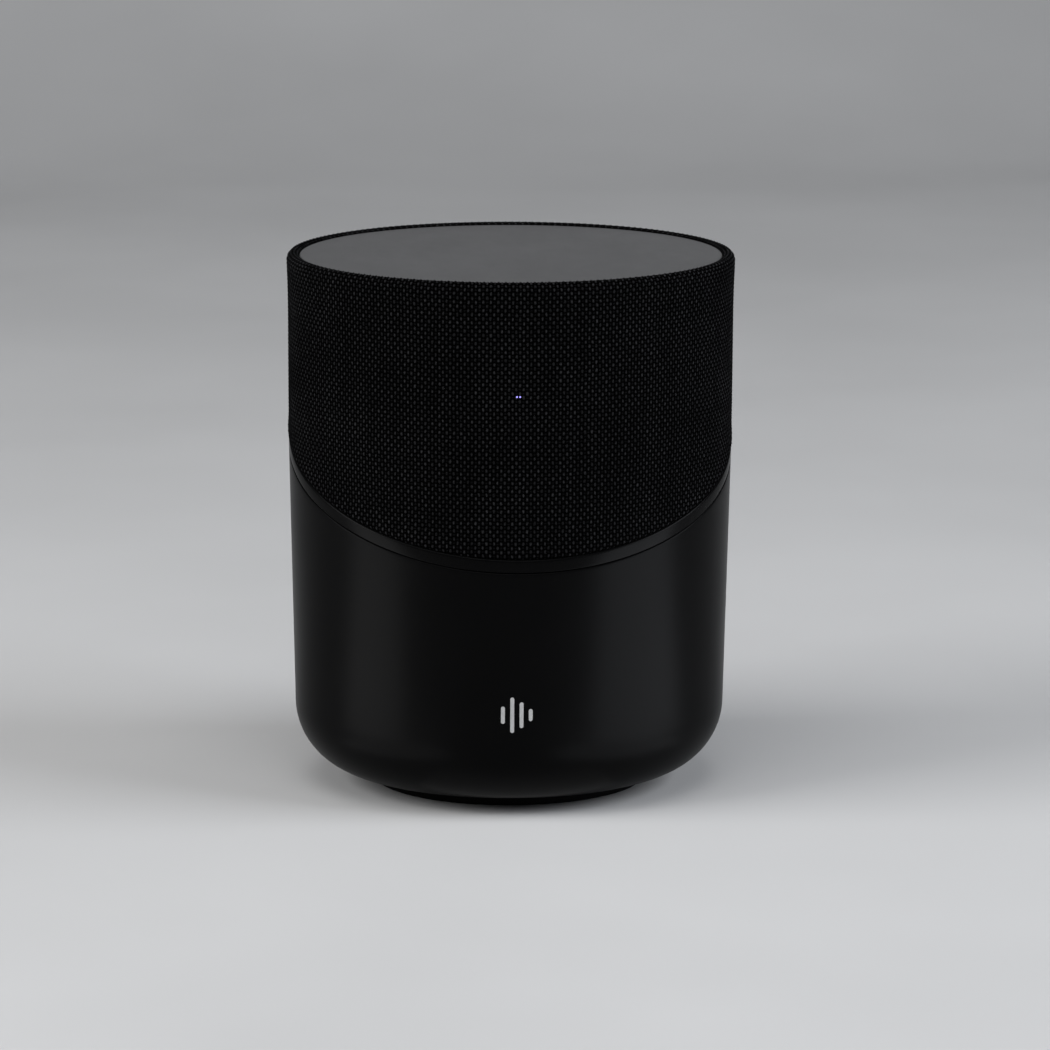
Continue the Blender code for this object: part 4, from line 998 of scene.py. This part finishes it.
def drum(name, radius, x, z, low_y, high_y):
    """A cylinder along Y, for cutting round holes."""
    half = (high_y - low_y) / 2
    made = turned(name, [(0, half), (radius, half), (radius, -half), (0, -half)], 48)
    return face_back(made, x, (low_y + high_y) / 2, z)


def make_tray(finishes):
    """The tray: a rim that follows the body, a recessed floor and a hole for each socket."""
    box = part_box("io_panel")
    tray = box_slab("connector_tray", box, 0.0, TRAY_FRONT, BEHIND, 0.0016)
    boolean(tray, body_fill(), "INTERSECT")
    boolean(tray, box_slab("pocket", box, -TRAY_RIM, TRAY_FLOOR, BEHIND + 0.003, 0.0012))
    for node, radius in (("mains_inlet", 0.0050), ("ethernet_socket", 0.0006), ("usb_socket", 0.0006)):
        boolean(tray, box_slab("cutout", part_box(node), GAP, CUT_LOW, CUT_HIGH, radius))
    for node, radius in (("audio_socket", 0.0032), ("setup_button", 0.0026)):
        low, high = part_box(node)
        hole = drum("cutout", radius, (low.x + high.x) / 2, (low.z + high.z) / 2, CUT_LOW, CUT_HIGH)
        boolean(tray, hole)
    show(tray, finishes, "housing", "moulded_black", "io_panel")


def make_inlet(finishes):
    """The two-pole mains inlet: a figure-of-eight mouth with two round pins."""
    low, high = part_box("mains_inlet")
    body = rounded_slab("mains_inlet_body", low, high, 0.0048, edge=0.0003)
    x, z = (low.x + high.x) / 2, (low.z + high.z) / 2
    front, depth = high.y + 0.002, high.y - 0.0120
    lobe, apart, waist = 0.0039, 0.0038, 0.0030
    for side in (-1, 1):
        boolean(body, drum("lobe", lobe, x + side * apart, z, depth, front))
    low, high = (x - apart, depth, z - waist), (x + apart, front, z + waist)
    boolean(body, rounded_slab("waist", low, high, 0.0003))
    show(body, finishes, "housing", "moulded_black", "mains_inlet")
    for side in ("left", "right"):
        low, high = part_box(f"inlet_pin_{side}")
        radius, long = (high.x - low.x) / 2, high.y - low.y
        line = [(0, long)] + arc((0, long - radius), (radius, radius), 75, 0, 6) + [(radius, 0), (0, 0)]
        pin = turned(f"round_inlet_pin_{side}", line, 32)
        face_back(pin, (low.x + high.x) / 2, low.y, (low.z + high.z) / 2)
        show(pin, finishes, "housing", "plated_pin", f"inlet_pin_{side}")


def block_row(name, boxes):
    """Several thin blocks as one mesh."""
    bm = bmesh.new()
    for low, high in boxes:
        made = bmesh.ops.create_cube(bm, size=1.0)["verts"]
        bmesh.ops.scale(bm, vec=[h - l for l, h in zip(low, high)], verts=made)
        bmesh.ops.translate(bm, vec=[(h + l) / 2 for l, h in zip(low, high)], verts=made)
    made = link(name, mesh_of(name, bm))
    ease = made.modifiers.new("eased_edges", "BEVEL")
    ease.width = 0.00005
    ease.segments = 1
    return made


def make_network_socket(finishes):
    """The network socket: a stepped mouth, eight spring contacts and two small windows."""
    low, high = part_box("ethernet_socket")
    body = rounded_slab("network_socket_body", low, high, 0.0005, edge=0.0002)
    middle = (low.x + high.x) / 2
    front, back = high.y + 0.002, high.y - 0.0140
    left, right, floor, top = low.x + 0.0018, high.x - 0.0018, low.z + 0.0017, high.z - 0.0024
    steps = (
        ("mouth", left, right, floor + 0.0030, top),
        ("latch_step", middle - 0.0032, middle + 0.0032, floor + 0.0014, floor + 0.0035),
        ("latch_tip", middle - 0.0016, middle + 0.0016, floor, floor + 0.0020),
    )
    for name, low_x, high_x, low_z, high_z in steps:
        boolean(body, rounded_slab(name, (low_x, back, low_z), (high_x, front, high_z), 0.0002))
    sill, lamps = high.y - 0.0006, []
    for x in (middle - 0.0054, middle + 0.0054):
        window = (x - 0.0011, sill, low.z + 0.0012), (x + 0.0011, front, low.z + 0.0030)
        boolean(body, rounded_slab("window", *window, 0.0003))
        lamps.append(((x - 0.0010, sill, low.z + 0.0013), (x + 0.0010, sill + 0.00045, low.z + 0.0029)))
    show(body, finishes, "housing", "moulded_black", "ethernet_socket")
    contacts = []
    for k in range(8):
        x = middle + (k - 3.5) * 0.00102
        contacts.append(((x - 0.00018, back, top - 0.0016), (x + 0.00018, high.y - 0.0030, top - 0.0012)))
    springs = block_row("network_socket_contacts", contacts)
    show(springs, finishes, "housing", "plated_pin")
    windows = block_row("network_socket_windows", lamps)
    show(windows, finishes, "housing", "diffuser")


def make_service_socket(finishes):
    """The USB service socket: a folded steel shell with a tongue and four contacts."""
    low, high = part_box("usb_socket")
    body = rounded_slab("service_socket_shell", low, high, 0.0005, edge=0.00025)
    front, back = high.y + 0.002, high.y - 0.0110
    side, sheet = 0.0010, 0.0011
    mouth = (low.x + side, back, low.z + sheet), (high.x - side, front, high.z - sheet)
    boolean(body, rounded_slab("mouth", *mouth, 0.0003))
    show(body, finishes, "housing", "zinc_steel", "usb_socket")
    x, z = (low.x + high.x) / 2, (low.z + high.z) / 2
    under = z + 0.0002
    span = (x - 0.0052, back, under), (x + 0.0052, high.y - 0.0012, z + 0.0018)
    tongue = rounded_slab("service_socket_tongue", *span, 0.0003, edge=0.0002)
    show(tongue, finishes, "housing", "moulded_black")
    contacts, tip = [], high.y - 0.0022
    for k in range(4):
        at = x + (k - 1.5) * 0.0023
        contacts.append(((at - 0.0005, back + 0.001, under - 0.00015), (at + 0.0005, tip, under)))
    strips = block_row("service_socket_contacts", contacts)
    show(strips, finishes, "housing", "plated_pin")


def make_audio_socket(finishes):
    """The 3.5 mm socket: a body behind the tray and a ringed neck through it."""
    low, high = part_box("audio_socket")
    x, z = (low.x + high.x) / 2, (low.z + high.z) / 2
    seat = TRAY_FRONT - GAP
    body = rounded_slab("audio_socket_body", low, (high.x, seat, high.z), 0.0006)
    out, root = high.y - seat, -0.003
    line = [(0, out), (0.0022, out), (0.0024, out - 0.0003), (0.0027, out - 0.0003)]
    line += [(0.0029, out - 0.0006), (0.0029, root), (0, root)]
    boolean(body, face_back(turned("neck", line, 48), x, seat, z), "UNION")
    boolean(body, drum("bore", 0.0018, x, z, 0.054, 0.074))
    show(body, finishes, "housing", "moulded_black", "audio_socket")


def make_button(finishes):
    """The setup button: a dished cap on a flanged stem."""
    low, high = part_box("setup_button")
    out, ease = high.y - TRAY_FLOOR, 0.0005
    line = [(0, out - 0.00022), (0.0009, out - 0.00015), (0.0014, out)]
    line += arc((0.0018, out - ease), (ease, ease), 80, 0, 4)
    line += [(0.0023, -0.0026), (0.0031, -0.0026), (0.0031, -0.0038), (0, -0.0038)]
    cap = turned("dished_setup_button", line, 48)
    face_back(cap, (low.x + high.x) / 2, TRAY_FLOOR, (low.z + high.z) / 2)
    show(cap, finishes, "setup_button", "moulded_black", "setup_button")


def dress_nodes(finishes):
    """Every CAD node that is still shown gets the finish of its slot."""
    for row in frame["record"]["subparts"]:
        node = frame["nodes"][row["node"]]
        node.data.materials.clear()
        node.data.materials.append(finishes[row["material_slot"]])


MAKERS = (
    dress_nodes,
    make_shell,
    make_fabric,
    make_panel,
    make_emblem,
    make_lights,
    make_foot,
    make_base,
    make_screws,
    make_tray,
    make_inlet,
    make_network_socket,
    make_service_socket,
    make_audio_socket,
    make_button,
)

make_camera()
make_stage()
FINISHES = make_finishes()
for maker in MAKERS:
    maker(FINISHES)

bpy.context.view_layer.update()
